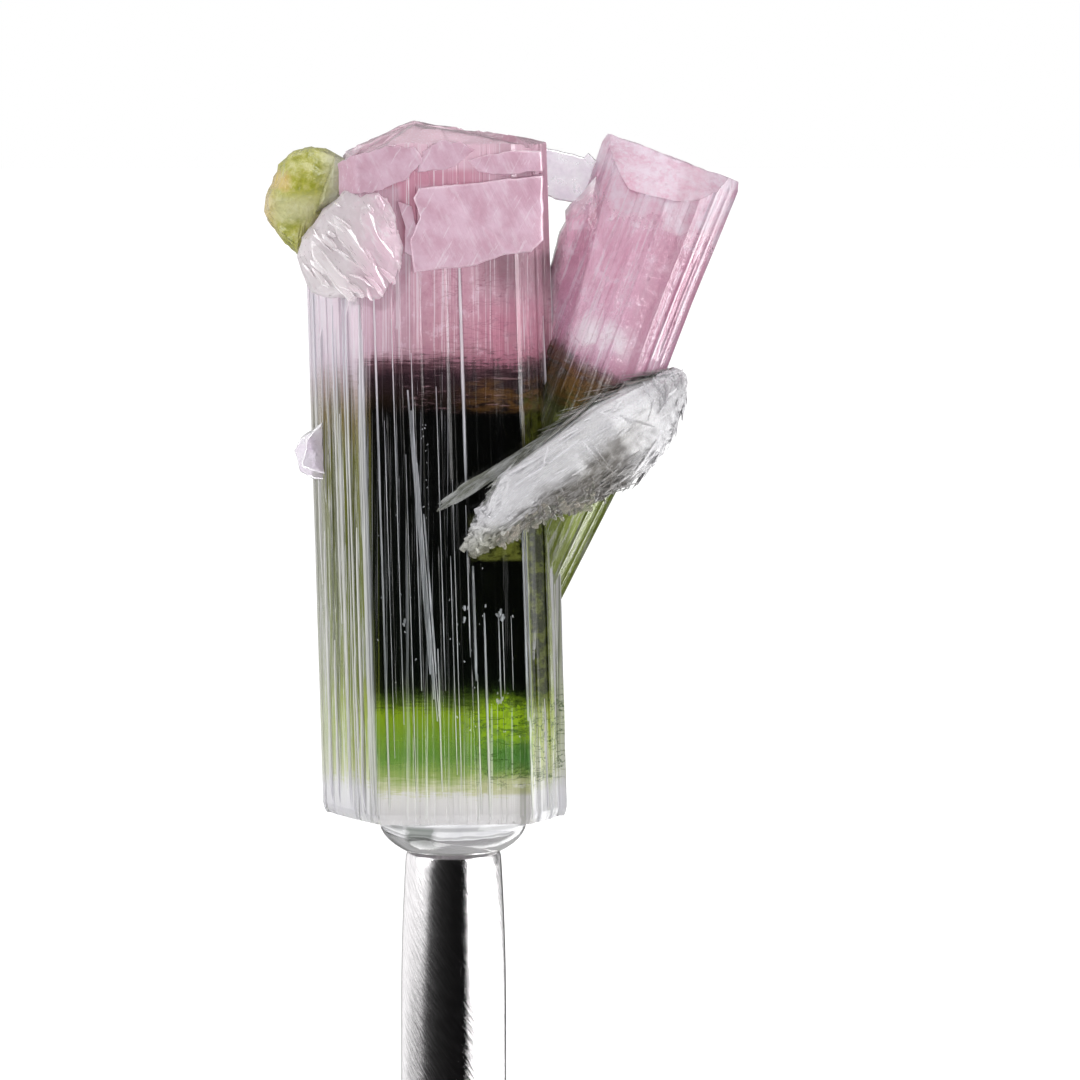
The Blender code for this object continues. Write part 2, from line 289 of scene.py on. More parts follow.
def prism_skin(mesh, striae, heights, sections, carry, cap_bottom, cap_top):
    """A closed striated prism. heights gives the rows of each outline point, and carry places them."""
    s = striae.samples()
    points, normals = striae.flat(s)
    grid = heights(points)
    relief = striae.relief(s, grid)
    scale = between(sections, grid)
    rings = []
    for level in range(grid.shape[1]):
        flat = points * scale[:, level, None] + normals * relief[:, level, None]
        rings.append([carry(x, y, z) for (x, y), z in zip(flat, grid[:, level])])
    bottom = [[cap_bottom(point, size) for point in rings[0]] for size in (0.0, 0.3, 0.6, 0.85)]
    top = [[cap_top(point, size) for point in rings[-1]] for size in CAP_SIZES]
    mesh.tube(bottom + rings + top, ends=False)


def prism_carry(x, y, z):
    """A point of the tall prism's outline at height z above its foot."""
    return (PRISM_BASE.x + x + PRISM_LEAN * z, PRISM_BASE.y + y, PRISM_BASE.z + z)


def prism_top(x, y):
    """Height in the model's frame of the tall prism's broken top over (x, y)."""
    planes = []
    for offset_y, slope_x, slope_y in TOP_SLOPES:
        planes.append(PRISM_PEAK.z + slope_x * (x - PRISM_PEAK.x) + slope_y * (y - offset_y))
    chip = min(TOP_CHIPS, key=lambda c: (c[0] - x) ** 2 + (c[1] - y) ** 2)
    step = chip[2] + chip[3] * (x - chip[0]) + chip[4] * (y - chip[1])
    step += 0.04 * roughness_of((x, y, 0.0), 0.5, 4.0)
    step *= min(1.0, abs(x - PRISM_PEAK.x) / 1.6)
    top = min(planes) + step
    return min(top, LEFT_STEP_Z + step) if x < LEFT_STEP_X else top


def tall_striae():
    rng = random.Random(5)
    striae = Striae(PRISM_CORNERS, SIDE_BULGE)
    striae.scatter(rng, 118, 0.0, 42.0)
    # The front is smoother near its right edge
    window = (striae.place(FRONT_SIDE, 0.66), striae.place(FRONT_SIDE, 0.985))
    for i, (start, end, edge, lift_a, lift_b, *rest) in enumerate(striae.ridges):
        if window[0] < (start + end) / 2 < window[1]:
            striae.ridges[i] = (start, end, edge, 0.3 * lift_a, 0.3 * lift_b, *rest)
    return striae


def tall_prism(mesh, striae):
    rng = random.Random(6)
    levels = prism_levels(rng, 0.0, PRISM_SHOULDER, 62)
    levels = np.concatenate([[0.0, 0.12, 0.3, 0.6], levels[1:]])

    def heights(points):
        tops = []
        for x, y in points:
            at = prism_carry(x, y, PRISM_HEIGHT)
            tops.append(prism_top(at[0], at[1]) - PRISM_BASE.z)
        return stacked(levels, PRISM_SHOULDER, tops, 14)

    def cap_bottom(point, size):
        x = PRISM_BASE.x + (point[0] - PRISM_BASE.x) * size
        return (x, point[1] * size, point[2] + 0.04 * roughness_of((x, point[1] * size, 0), 1.0, 2))

    def cap_top(point, size):
        centre_x = PRISM_BASE.x + PRISM_LEAN * PRISM_HEIGHT
        x = centre_x + (point[0] - centre_x) * size
        y = point[1] * size
        return (x, y, prism_top(x, y))

    prism_skin(mesh, striae, heights, PRISM_SECTIONS, prism_carry, cap_bottom, cap_top)


def leaning_carry(x, y, z):
    """A point of the leaning prism's outline at height z up its axis."""
    down = LEANING_LENGTH - z
    return (
        LEANING_TOP.x + x * math.cos(LEANING_TILT) - math.sin(LEANING_TILT) * down,
        LEANING_TOP.y + y + LEANING_DRIFT * down,
        LEANING_TOP.z - x * math.sin(LEANING_TILT) - math.cos(LEANING_TILT) * down,
    )


def leaning_flat(point):
    """The outline point (x, y) that leaning_carry places at a point of space."""
    offset_x = point[0] - LEANING_TOP.x
    offset_z = point[2] - LEANING_TOP.z
    down = -(offset_x * math.sin(LEANING_TILT) + offset_z * math.cos(LEANING_TILT))
    x = offset_x * math.cos(LEANING_TILT) - offset_z * math.sin(LEANING_TILT)
    return x, point[1] - LEANING_TOP.y - LEANING_DRIFT * down


def leaning_top(x, y):
    """Height up the leaning prism's axis of its top over (x, y). A slanting facet cuts its front."""
    facet = 29.35 + 0.95 * (y + 3.4) + 0.16 * x
    grain = 0.10 * roughness_of((x, y, 0), 1.3, 9) + 0.04 * roughness_of((x, y, 0), 0.4, 10)
    return min(LEANING_LENGTH, facet) + grain


def leaning_striae():
    turns = [math.radians(angle) for angle in LEANING_ANGLES]
    corners = [
        (LEANING_RADIUS * math.cos(turn), LEANING_RADIUS * LEANING_DEPTH_SCALE * math.sin(turn))
        for turn in turns
    ]
    striae = Striae(corners, 0.3)
    striae.scatter(random.Random(8), 64, 0.0, 27.0)
    return striae


def leaning_prism(mesh):
    rng = random.Random(9)
    levels = prism_levels(rng, 0.0, LEANING_SHOULDER, 40)

    def heights(points):
        return stacked(levels, LEANING_SHOULDER, [leaning_top(x, y) for x, y in points], 8)

    foot = Vector(leaning_carry(0, 0, 0))

    def cap_bottom(point, size):
        return tuple(foot + (Vector(point) - foot) * size)

    def cap_top(point, size):
        x, y = leaning_flat(point)
        return leaning_carry(x * size, y * size, leaning_top(x * size, y * size))

    prism_skin(mesh, leaning_striae(), heights, LEANING_SECTIONS, leaning_carry, cap_bottom, cap_top)


def pale_ridge(mesh, striae, middle, width, low, high, lift, rng, slant=0.0):
    """One clear growth ridge that lies on the tall prism like a glass rod, with tapered ends."""
    count = max(8, int((high - low) / 1.1))
    rings = []
    for i in range(count + 1):
        share = i / count
        z = low + (high - low) * share
        full = min(1.0, 0.15 + 6.0 * min(share, 1 - share))
        wide = width * (0.75 + 0.25 * full) * (1 + 0.12 * rng.uniform(-1, 1)) / 2
        at = middle + slant * (z - (low + high) / 2)
        places = np.array([at - wide, at - wide * 0.45, at + wide * 0.45, at + wide])
        flat, normals = striae.flat(places)
        ground = striae.relief(np.array([at]), np.array([z]))[0, 0]
        scale = float(between(PRISM_SECTIONS, z))
        rises = (-0.12, lift * full, lift * full * 0.8, -0.12)
        ring = []
        for (x, y), (nx, ny), rise in zip(flat, normals, rises):
            out = ground + rise
            ring.append(prism_carry(x * scale + nx * out, y * scale + ny * out, z))
        rings.append(ring)
    mesh.tube(rings)


def pale_ridges(mesh, striae):
    """The clear ridges: the ones that the front shows, then more of the same all round."""
    rng = random.Random(21)
    front = (
        # share of the front's width, width, and heights above the foot of both ends
        (0.067, 0.20, 1.0, 33.0),
        (0.11, 0.08, 4.0, 24.0),
        (0.176, 0.10, 6.0, 30.0),
        (0.242, 0.10, 2.0, 22.0),
        (0.298, 0.12, 8.0, 28.0),
        (0.411, 0.14, 2.0, 10.5),
        (0.453, 0.10, 8.0, 26.0),
        (0.512, 0.10, 3.0, 16.0),
        (0.539, 0.10, 2.0, 20.5),
        (0.627, 0.26, 20.3, 33.5),
        (0.621, 0.12, 10.0, 19.0),
        (0.655, 0.24, 8.6, 15.4),
        (0.663, 0.12, 0.5, 9.0),
        (0.72, 0.22, 0.3, 12.6),
        (0.812, 0.14, 7.6, 12.6),
        (0.838, 0.08, 7.8, 12.4),
        (0.894, 0.06, 8.0, 12.4),
        (0.985, 0.20, 6.2, 18.0),
        (1.018, 0.12, 5.5, 18.0),
        (0.996, 0.16, 0.2, 6.4),
    )
    for share, width, low, high in front:
        middle = striae.place(FRONT_SIDE, share)
        pale_ridge(mesh, striae, middle, width, low, high, 0.05 + width * 0.3, rng)
    right = ((0.335, 0.14, 0.3, 7.3), (0.65, 0.22, 6.0, 30.0), (0.80, 0.1, 8.0, 33.0), (0.93, 0.2, 0.5, 33.0))
    for share, width, low, high in right:
        middle = striae.place(RIGHT_FLANK, share)
        pale_ridge(mesh, striae, middle, width, low, high, 0.04 + width * 0.3, rng)
    broad = striae.place(FRONT_SIDE, 0.345)
    strands = (
        (-0.30, 0.20, 9.0, 25.8),
        (-0.12, 0.26, 7.5, 24.6),
        (0.08, 0.16, 6.2, 21.5),
        (0.24, 0.20, 9.0, 18.5),
        (0.40, 0.10, 5.5, 14.0),
    )
    for offset, width, low, high in strands:
        pale_ridge(mesh, striae, broad + offset, width, low, high, 0.12, rng, slant=-0.048)
    for side, count in ((LEFT_FLANK, 15), (0, 8), (1, 12), (2, 8)):
        for _ in range(count):
            share = rng.uniform(0.02, 0.98)
            low = rng.choice((0.4, 0.4, rng.uniform(2.0, 20.0)))
            high = min(33.5, low + rng.uniform(10.0, 34.0))
            width = rng.uniform(0.05, 0.24)
            pale_ridge(mesh, striae, striae.place(side, share), width, low, high, 0.04 + width * 0.3, rng)


# Clusters of bright grains: share of the front's width, height above the foot and size
BRIGHT_SPOTS = (
    (0.735, 13.1, 0.05), (0.812, 12.6, 0.08), (0.835, 12.4, 0.08), (0.80, 8.6, 0.05), (0.805, 7.5, 0.07),
    (0.60, 12.9, 0.07), (0.585, 12.3, 0.06), (0.20, 12.1, 0.06), (0.27, 10.0, 0.04), (0.79, 7.9, 0.04),
)


def bright_grains(mesh, striae):
    """Bright grains on the tall prism's front: along the broad ridge's crack, and at the ends of others."""
    rng = random.Random(22)
    spots = []
    for _ in range(16):
        spots.append((0.368 + 0.014 * rng.uniform(-1, 1), rng.uniform(18.0, 24.0), rng.uniform(0.015, 0.035)))
    spots += BRIGHT_SPOTS
    for _ in range(44):
        spots.append((rng.uniform(0.02, 0.98), rng.uniform(5.0, 21.0), rng.uniform(0.02, 0.04)))
    for share, z, size in spots:
        place = np.array([striae.place(FRONT_SIDE, share)])
        flat, normals = striae.flat(place)
        ground = striae.relief(place, np.array([z]))[0, 0]
        (x, y), (nx, ny) = flat[0], normals[0]
        for _ in range(4 if size > 0.055 else 1):
            middle = Vector(prism_carry(x + nx * ground, y + ny * ground, z))
            middle += Vector((rng.gauss(0, size), 0.0, rng.gauss(0, 1.5 * size)))
            along = Vector((rng.gauss(0, 0.4), rng.gauss(0, 0.3), 1.0))
            axes = (size * 1.6, size * 0.8, size * 0.8)
            shard(mesh, middle, along, Vector((1.0, 0.2, 0.0)), axes, rng, 0.4)


# Crusts, plates and flakes


def dense(outline, step, ragged, seed):
    """An outline with points about step apart, shifted in and out to make it ragged."""
    points = []
    for a, b in zip(outline, outline[1:] + outline[:1]):
        a = Vector(a)
        b = Vector(b)
        count = max(2, round((b - a).length / step))
        for i in range(count):
            at = a.lerp(b, i / count)
            out = ragged * roughness_of((at.x, at.y, 0.0), 0.5, seed)
            across = Vector((b - a).yx).normalized()
            points.append(at + Vector((across.x, -across.y)) * out)
    return points


def middle_of(points):
    return sum(points, Vector((0.0, 0.0))) / len(points)


def plate_bump(point, seed, fine):
    """Coarse and fine unevenness of a plate's face."""
    return roughness_of(point, 1.1, seed) + fine * roughness_of(point, 0.4, seed)


def slab(mesh, outline, front, back, seed, ragged=0.05, bevel=0.12, bumps=0.05, turn=(0.0, 0.0)):
    """A plate seen from the front by its (x, z) outline. turn slopes its face per millimetre of x and z."""
    edge = dense(outline, 0.3, ragged, seed)
    centre = middle_of(edge)
    radius = max((p - centre).length for p in edge)
    rings = []
    layers = ((1.0, back), (1.0, front + bevel * 1.5), (1 - bevel * 0.5 / radius, front + bevel * 0.4))
    for size, y in layers:
        rings.append([(centre + (p - centre) * size, y) for p in edge])
    for size in (1 - bevel * 1.4 / radius, 0.82, 0.62, 0.42, 0.22, 0.03):
        rings.append([(centre + (p - centre) * size, front) for p in edge])
    placed = []
    for i, ring in enumerate(rings):
        row = []
        for p, y in ring:
            slope = turn[0] * (p.x - centre.x) + turn[1] * (p.y - centre.y)
            bump = bumps * plate_bump((p.x, y, p.y), seed, 0.5)
            row.append((p.x, y + (slope + bump if i else 0.0), p.y))
        placed.append(row)
    mesh.tube(placed)


def blob(mesh, outline, middle_y, half_depth, seed, power=2.4, bumps=0.12, rings=30, step=0.28):
    """A rounded lump that shows an (x, z) outline from the front."""
    edge = dense(outline, step, 0.04, seed)
    centre = middle_of(edge)
    rows = []
    for i in range(rings + 1):
        t = -math.cos(math.pi * i / rings)
        size = max(0.02, (1 - abs(t) ** power) ** (1 / power))
        row = []
        for p in edge:
            flat = centre + (p - centre) * size
            at = Vector((flat.x, middle_y + t * half_depth, flat.y))
            out = Vector((flat.x - centre.x, t * half_depth, flat.y - centre.y)).normalized()
            push = bumps * (roughness_of(at, 1.3, seed) + 0.45 * roughness_of(at, 0.45, seed + 1))
            row.append(at + out * (push - 0.6 * bumps))
        rows.append(row)
    mesh.tube(rows)


def shard(mesh, middle, along, across, size, rng, jitter=0.28):
    """An angular chunk: the hull of a box whose corners are moved about."""
    along = along.normalized()
    across = (across - along * across.dot(along)).normalized()
    axes = (along * size[0], across * size[1], along.cross(across) * size[2])
    solid = bmesh.new()
    for i in range(8):
        corner = middle.copy()
        for k in range(3):
            sign = 1 if i >> k & 1 else -1
            corner += axes[k] * (sign + rng.uniform(-jitter, jitter))
        solid.verts.new(corner)
    bmesh.ops.convex_hull(solid, input=solid.verts)
    loose = [v for v in solid.verts if not v.link_faces]
    bmesh.ops.delete(solid, geom=loose, context="VERTS")
    bmesh.ops.recalc_face_normals(solid, faces=solid.faces)
    solid.verts.index_update()
    mesh.add([v.co for v in solid.verts], [[v.index for v in face.verts] for face in solid.faces])
    solid.free()


def blob_front(outline, middle_y, half_depth, power):
    """The depth of a blob's front at (x, z), or None outside its outline."""
    centre = middle_of([Vector(p) for p in outline])

    def front(x, z):
        towards = Vector((x, z)) - centre
        for a, b in zip(outline, outline[1:] + outline[:1]):
            a = Vector(a) - centre
            run = Vector(b) - centre - a
            cross = towards.cross(run)
            if abs(cross) < 1e-9:
                continue
            reach = a.cross(run) / cross
            share = a.cross(towards) / cross
            if reach > 0 and -1e-6 <= share <= 1 + 1e-6:
                size = 1 / reach
                return None if size >= 1 else middle_y - half_depth * (1 - size**power) ** (1 / power)
        return middle_y - half_depth

    return front


def strand(mesh, places, front, width, lift, rng):
    """A low rounded rib that follows a blob's front through (x, z) places, tapered at both ends."""
    rings = []
    for i, (x, z) in enumerate(places):
        share = i / (len(places) - 1)
        full = min(1.0, 0.12 + 4.0 * min(share, 1 - share))
        ahead = Vector(places[min(i + 1, len(places) - 1)]) - Vector(places[max(i - 1, 0)])
        side = Vector((-ahead.y, ahead.x)).normalized()
        depth = front(x, z)
        if depth is None:
            return
        wide = width * full * (1 + 0.15 * rng.uniform(-1, 1)) / 2
        ring = []
        section = ((-1.0, -0.25), (-0.75, 0.5 * lift), (-0.2, lift), (0.35, 0.85 * lift), (1.0, -0.25))
        for across, rise in section:
            ring.append((x + side.x * wide * across, depth - rise * full, z + side.y * wide * across))
        rings.append(ring)
    mesh.tube(rings)


KNOB = [
    (-11.35, 58.4), (-11.2, 59.4), (-10.35, 61.3), (-9.5, 62.2), (-8.4, 62.5), (-7.5, 62.35),
    (-6.4, 61.7), (-6.35, 59.9), (-7.5, 58.6), (-9.2, 55.8), (-9.95, 56.5), (-11.05, 57.9),
]
CRUST = [
    (-9.15, 55.9), (-8.9, 57.0), (-7.6, 58.7), (-6.4, 59.8), (-5.2, 60.2), (-4.0, 60.55),
    (-3.3, 60.2), (-2.6, 58.8), (-2.3, 57.0), (-2.25, 55.2), (-2.6, 54.0), (-3.3, 53.1),
    (-3.9, 52.65), (-4.8, 52.9), (-6.0, 53.3), (-7.4, 53.4), (-8.3, 53.7), (-8.6, 54.3),
    (-8.9, 55.2),
]


def shrunk(outline, size):
    x = sum(p[0] for p in outline) / len(outline)
    z = sum(p[1] for p in outline) / len(outline)
    return [(x + (p[0] - x) * size, z + (p[1] - z) * size) for p in outline]


def green_crystal(mesh):
    blob(mesh, KNOB, -0.9, 2.7, 31, power=3.2, bumps=0.24, rings=22, step=0.42)
    shelf = [(-8.1, 58.4), (-7.7, 60.0), (-6.9, 61.9), (-6.2, 61.6), (-5.9, 60.2), (-6.6, 58.9)]
    blob(mesh, shelf, -1.6, 2.4, 32, power=3.6, bumps=0.12, rings=14, step=0.42)


def left_crust(mesh):
    """A cloudy mass of clear crystals grown together below the green one, ribbed down to the right."""
    rng = random.Random(34)
    depth = (-4.0, 2.75, 3.0)
    blob(mesh, CRUST, depth[0], depth[1], 33, power=depth[2], bumps=0.15, rings=26, step=0.3)
    front = blob_front(shrunk(CRUST, 0.97), *depth)
    broad = (
        # start and end (x, z), width, lift
        ((-6.9, 58.3), (-3.9, 54.1), 1.10, 0.07),
        ((-5.2, 59.3), (-2.9, 55.2), 1.00, 0.07),
        ((-4.1, 60.0), (-2.5, 56.6), 0.90, 0.05),
        ((-8.2, 57.0), (-5.6, 53.9), 0.90, 0.06),
        ((-3.9, 54.3), (-3.3, 53.1), 0.50, 0.06),
        ((-7.3, 55.6), (-5.2, 53.2), 0.80, 0.05),
    )
    for start, end, width, lift in broad:
        strand(mesh, crooked(start, end, rng), front, width, lift, rng)
    for _ in range(46):
        x = rng.uniform(-8.8, -2.4)
        z = rng.uniform(53.0, 60.0)
        slope = math.radians(rng.gauss(-56.0 if x > -6.0 else -44.0, 8.0))
        length = rng.uniform(0.5, 2.2)
        end = (x + length * math.cos(slope), z + length * math.sin(slope))
        strand(mesh, crooked((x, z), end, rng), front, rng.uniform(0.10, 0.50), rng.uniform(0.03, 0.10), rng)


def crooked(start, end, rng, count=9):
    """Places from start to end that wander a little."""
    bend = rng.uniform(-0.12, 0.12)
    a = Vector(start)
    run = Vector(end) - a
    side = Vector((-run.y, run.x))
    places = []
    for i in range(count + 1):
        places.append(tuple(a + run * (i / count) + side * bend * math.sin(math.pi * i / count)))
    return places


def skin_slab(mesh, striae, outline, lift, seed, ragged=0.08, bumps=0.05):
    """A plate that lies on the tall prism's skin. Its outline is in (distance along the skin from the
    front's left corner, height above the foot)."""
    edge = dense(outline, 0.22, ragged, seed)
    centre = middle_of(edge)
    radius = max((p - centre).length for p in edge)
    rings = []
    layers = [(1.0, -0.3), (1.0, 0.45 * lift), (1 - 0.05 / radius, 0.8 * lift), (1 - 0.14 / radius, lift)]
    layers += [(size, lift) for size in (0.93, 0.85, 0.75, 0.64, 0.52, 0.4, 0.28, 0.16, 0.02)]
    for size, out in layers:
        ring = [centre + (p - centre) * size for p in edge]
        places = striae.starts[FRONT_SIDE] + np.array([p.x for p in ring])
        flat, normals = striae.flat(places)
        ground = striae.relief(places, np.array([[p.y] for p in ring]))[:, 0]
        row = []
        for p, (x, y), (nx, ny), rise in zip(ring, flat, normals, ground):
            bump = plate_bump((p.x, 0.0, p.y), seed, 0.6)
            scale = float(between(PRISM_SECTIONS, p.y))
            push = max(out + bumps * bump, rise + 0.05) if out > 0 else out
            row.append(prism_carry(x * scale + nx * push, y * scale + ny * push, p.y))
        rings.append(row[::-1])
    mesh.tube(rings)


def frosted_plates(mesh, striae):
    """The frosted plates: two flat ones before the tall prism's front, and lower ones at its left."""
    lower = [(-1.9, 59.95), (-0.6, 60.1), (1.6, 60.3), (3.4, 60.5), (5.38, 60.7), (5.42, 56.9), (4.7, 56.2)]
    lower += [(3.2, 56.05), (1.3, 55.4), (-0.7, 55.2), (-2.2, 55.0), (-2.4, 56.9), (-1.8, 58.3), (-2.2, 59.4)]
    slab(mesh, lower, -6.26, -1.0, 51, ragged=0.07, bevel=0.12, bumps=0.09, turn=(0.065, -0.02))
    upper = [(1.0, 61.6), (2.2, 61.9), (3.6, 62.15), (5.3, 62.1), (5.38, 60.95), (3.0, 60.75), (1.6, 60.9)]
    slab(mesh, upper, -6.02, -1.0, 52, ragged=0.07, bevel=0.10, bumps=0.07, turn=(0.065, 0.03))
    left = [(-2.2, 37.2), (-2.3, 39.0), (-0.7, 39.5), (1.6, 40.1), (3.3, 40.1), (3.9, 39.2), (2.5, 38.1)]
    left += [(0.7, 37.4)]
    skin_slab(mesh, striae, left, 0.14, 54, ragged=0.16)
    middle = [(3.4, 38.6), (3.8, 39.8), (4.7, 40.4), (6.0, 40.3), (6.9, 39.9), (5.6, 38.9)]
    skin_slab(mesh, striae, middle, 0.10, 56, ragged=0.16)
    chip = [(2.2, 36.9), (3.0, 36.6), (3.3, 35.2), (3.2, 33.6), (2.5, 33.9), (2.6, 35.4)]
    skin_slab(mesh, striae, chip, 0.16, 55, ragged=0.04)


def bridge(mesh):
    outline = [(4.4, 62.1), (5.6, 62.15), (6.6, 61.95), (7.9, 61.6), (8.1, 61.85), (8.5, 61.5), (9.4, 61.0)]
    outline += [(9.3, 59.0), (7.4, 58.6), (7.2, 58.95), (6.4, 59.05), (5.6, 59.35), (4.4, 59.4)]
    slab(mesh, outline, 0.9, 2.2, 71, ragged=0.09, bumps=0.10)


def leaning_flank(mesh):
    """The leaning prism's inner side, which widens towards the tall prism."""
    outline = [(8.6, 60.6), (7.8, 59.6), (7.0, 58.9), (6.7, 58.5), (6.75, 57.9), (6.35, 57.3)]
    outline += [(6.1, 56.2), (5.75, 54.9), (5.5, 50.2), (5.3, 46.5), (6.8, 46.2), (9.2, 59.0)]
    blob(mesh, outline, 0.3, 2.3, 73, power=3.2, bumps=0.08)


def left_flake(mesh):
    back = [(-8.3, 42.5), (-9.1, 42.9), (-9.5, 44.2), (-9.1, 44.9), (-8.5, 45.3), (-7.4, 45.5), (-7.3, 42.4)]
    slab(mesh, back, -1.2, 0.9, 75, ragged=0.10, bumps=0.12)
    front = [(-9.0, 43.2), (-8.7, 45.0), (-7.8, 45.9), (-7.6, 42.8)]
    slab(mesh, front, -1.7, 0.2, 76, ragged=0.10, bumps=0.12)


# The sheaf of white blades


def sheaf_spine(t):
    """The middle, half height and half thickness of the sheaf at t, from 0 at its left tip to 1."""
    place = t * (len(SHEAF_STATIONS) - 1)
    i = min(int(place), len(SHEAF_STATIONS) - 2)
    f = place - i
    middle_a, height_a, thickness_a = SHEAF_STATIONS[i]
    middle_b, height_b, thickness_b = SHEAF_STATIONS[i + 1]
    middle = Vector(middle_a).lerp(Vector(middle_b), f)
    return middle, height_a + (height_b - height_a) * f, thickness_a + (thickness_b - thickness_a) * f


def sheaf_point(t, angle, size=1.0):
    """A point on the sheaf's skin. Angle 0 is its top edge, and a quarter turn is its front."""
    middle, height, thickness = sheaf_spine(t)
    ahead = sheaf_spine(min(t + 0.05, 1.0))[0]
    behind = sheaf_spine(max(t - 0.05, 0.0))[0]
    along = (ahead - behind).normalized()
    turn = min(1.0, max(0.0, (t - 0.3) / 0.4))
    front = Vector((0.25 + 0.35 * turn, -1.0 + 0.2 * turn, 0.0)).normalized()
    up = front.cross(along).normalized()
    up = up if up.z > 0 else -up
    return middle + up * (height * size * math.cos(angle)) + front * (thickness * size * math.sin(angle))


def blade(mesh, root, tip, across, width, thickness, bend, rng):
    """One flat blade with a slanted point, bent a little out of its plane."""
    length = (tip - root).length
    along = (tip - root).normalized()
    across = (across - along * across.dot(along)).normalized()
    face = along.cross(across)
    profile = ((0.0, 0.30), (0.25, 0.44), (0.55, 0.50), (0.8, 0.47), (0.93, 0.34), (1.0, 0.10))
    skew = rng.uniform(-0.18, 0.18)
    rings = []
    for share, half in profile:
        middle = root + along * (length * share)
        middle = middle + face * (bend * share * share) + across * (skew * width * share)
        wide = across * (half * width)
        thick = face * (thickness * (0.5 if share < 0.9 else 0.3))
        rings.append([middle - wide, middle - wide * 0.7 - thick, middle + wide * 0.7 - thick, middle + wide])
        rings[-1] += [middle + wide * 0.7 + thick, middle - wide * 0.7 + thick]
    mesh.tube(rings)


def sheaf_blade(mesh, root, tip, t, angle, widths, rng):
    """A blade that lies flat on the sheaf's skin."""
    across = sheaf_point(t, angle + 0.4) - sheaf_point(t, angle - 0.4)
    width = rng.uniform(*widths)
    thickness = rng.uniform(0.02, 0.05)
    blade(mesh, root, tip, across, width, thickness, rng.uniform(-0.1, 0.1), rng)


def sheaf_body(mesh):
    """The sheaf's solid inside: faintly ribbed on its crest, and lumpy low down and at its left."""
    steps = 110
    sides = 84
    rows = []
    for i in range(steps + 1):
        t = i / steps
        row = []
        for k in range(sides):
            angle = FULL_TURN * k / sides
            at = sheaf_point(t, angle)
            fibre = noise.noise(Vector((angle * 6.0, t * 2.2, 8.0)))
            fine = noise.noise(Vector((angle * 16.0, t * 4.0, 3.0)))
            rough = min(1.0, max(0.0, (0.42 - t) / 0.2, 0.3 - 1.4 * math.cos(angle)))
            lump = 0.10 * roughness_of(at, 0.75, 81) + 0.09 * roughness_of(at, 0.3, 82)
            row.append(sheaf_point(t, angle, 0.93 + 0.05 * fibre + 0.025 * fine + rough * lump))
        rows.append(row)
    mesh.tube(rows)


def sheaf_blades(mesh):
    """Thin blades: a fringe along the top edge, nearly flush ones on the front and short ones below."""
    rng = random.Random(17)
    groups = (
        # count, then the spans of t, angle, reach along the sheaf, width and size
        (60, (0.05, 0.95), (0.3, 1.9), (0.04, 0.13), (0.06, 0.25), (0.985, 1.015)),
        (120, (0.08, 0.60), (1.9, 3.4), (0.02, 0.08), (0.08, 0.30), (0.99, 1.08)),
        (70, (0.60, 0.95), (1.9, 3.4), (0.03, 0.08), (0.10, 0.35), (0.98, 1.04)),
    )
    for count, span, angles, reaches, widths, sizes in groups:
        for _ in range(count):
            t = rng.uniform(*span)
            angle = rng.uniform(*angles)
            reach = rng.uniform(*reaches)
            root = sheaf_point(max(t - reach, 0.0), angle, 0.9)
            tip = sheaf_point(min(t + reach, 1.0), angle + rng.gauss(0, 0.12), rng.uniform(*sizes))
            if rng.random() < 0.5:
                root = sheaf_point(min(t + reach, 1.0), angle, 0.9)
                tip = sheaf_point(max(t - reach, 0.0), angle, sizes[1])
            sheaf_blade(mesh, root, tip, t, angle, widths, rng)
    for _ in range(60):
        t = rng.uniform(0.72, 0.98)
        foot = sheaf_point(t - 0.08, rng.uniform(1.2, 3.0), 0.85)
        tip = sheaf_point(t, rng.uniform(-0.4, 1.2), rng.uniform(0.98, 1.1))
        width = rng.uniform(0.12, 0.45)
        blade(mesh, foot, tip, Vector((0.8, -0.6, 0.0)), width, 0.04, rng.uniform(-0.15, 0.2), rng)
    for _ in range(34):
        foot = sheaf_point(rng.uniform(0.30, 0.56), rng.uniform(1.7, 2.7), 0.97)
        tip = foot + Vector((rng.gauss(0, 0.10), -0.05, -rng.uniform(0.2, 0.6)))
        blade(mesh, foot, tip, Vector((1.0, 0.0, 0.0)), rng.uniform(0.07, 0.18), 0.03, 0.0, rng)


def sheaf_fringe(mesh):
    """The clearer, darker blades along the sheaf's top edge, and the arm that they form at its left."""
    rng = random.Random(18)
    for _ in range(120):
        t = rng.uniform(0.16, 0.93)
        angle = rng.uniform(-0.8, 0.25)
        reach = rng.uniform(0.04, 0.12)
        root = sheaf_point(max(t - reach, 0.0), angle, 0.9)
        tip = sheaf_point(min(t + reach, 1.0), angle + rng.gauss(0, 0.1), rng.uniform(0.99, 1.13))
        if rng.random() < 0.6:
            root = sheaf_point(min(t + reach, 1.0), angle, 0.9)
            tip = sheaf_point(max(t - reach, 0.0), angle, rng.uniform(1.02, 1.22))
        sheaf_blade(mesh, root, tip, t, angle, (0.12, 0.42), rng)
    for i in range(15):
        root = sheaf_point(rng.uniform(0.30, 0.50), rng.uniform(-0.3, 0.3), 0.94)
        tip = Vector((-0.9, -6.5, 41.15)).lerp(Vector((2.6, -6.7, 43.2)), (i / 14) ** 1.2)
        tip += Vector((0.0, 0.0, rng.uniform(-0.3, 0.3)))
        width = rng.uniform(0.18, 0.5)
        blade(mesh, root, tip, Vector((-0.5, 0.0, 1.0)), width, 0.04, rng.uniform(-0.15, 0.15), rng)


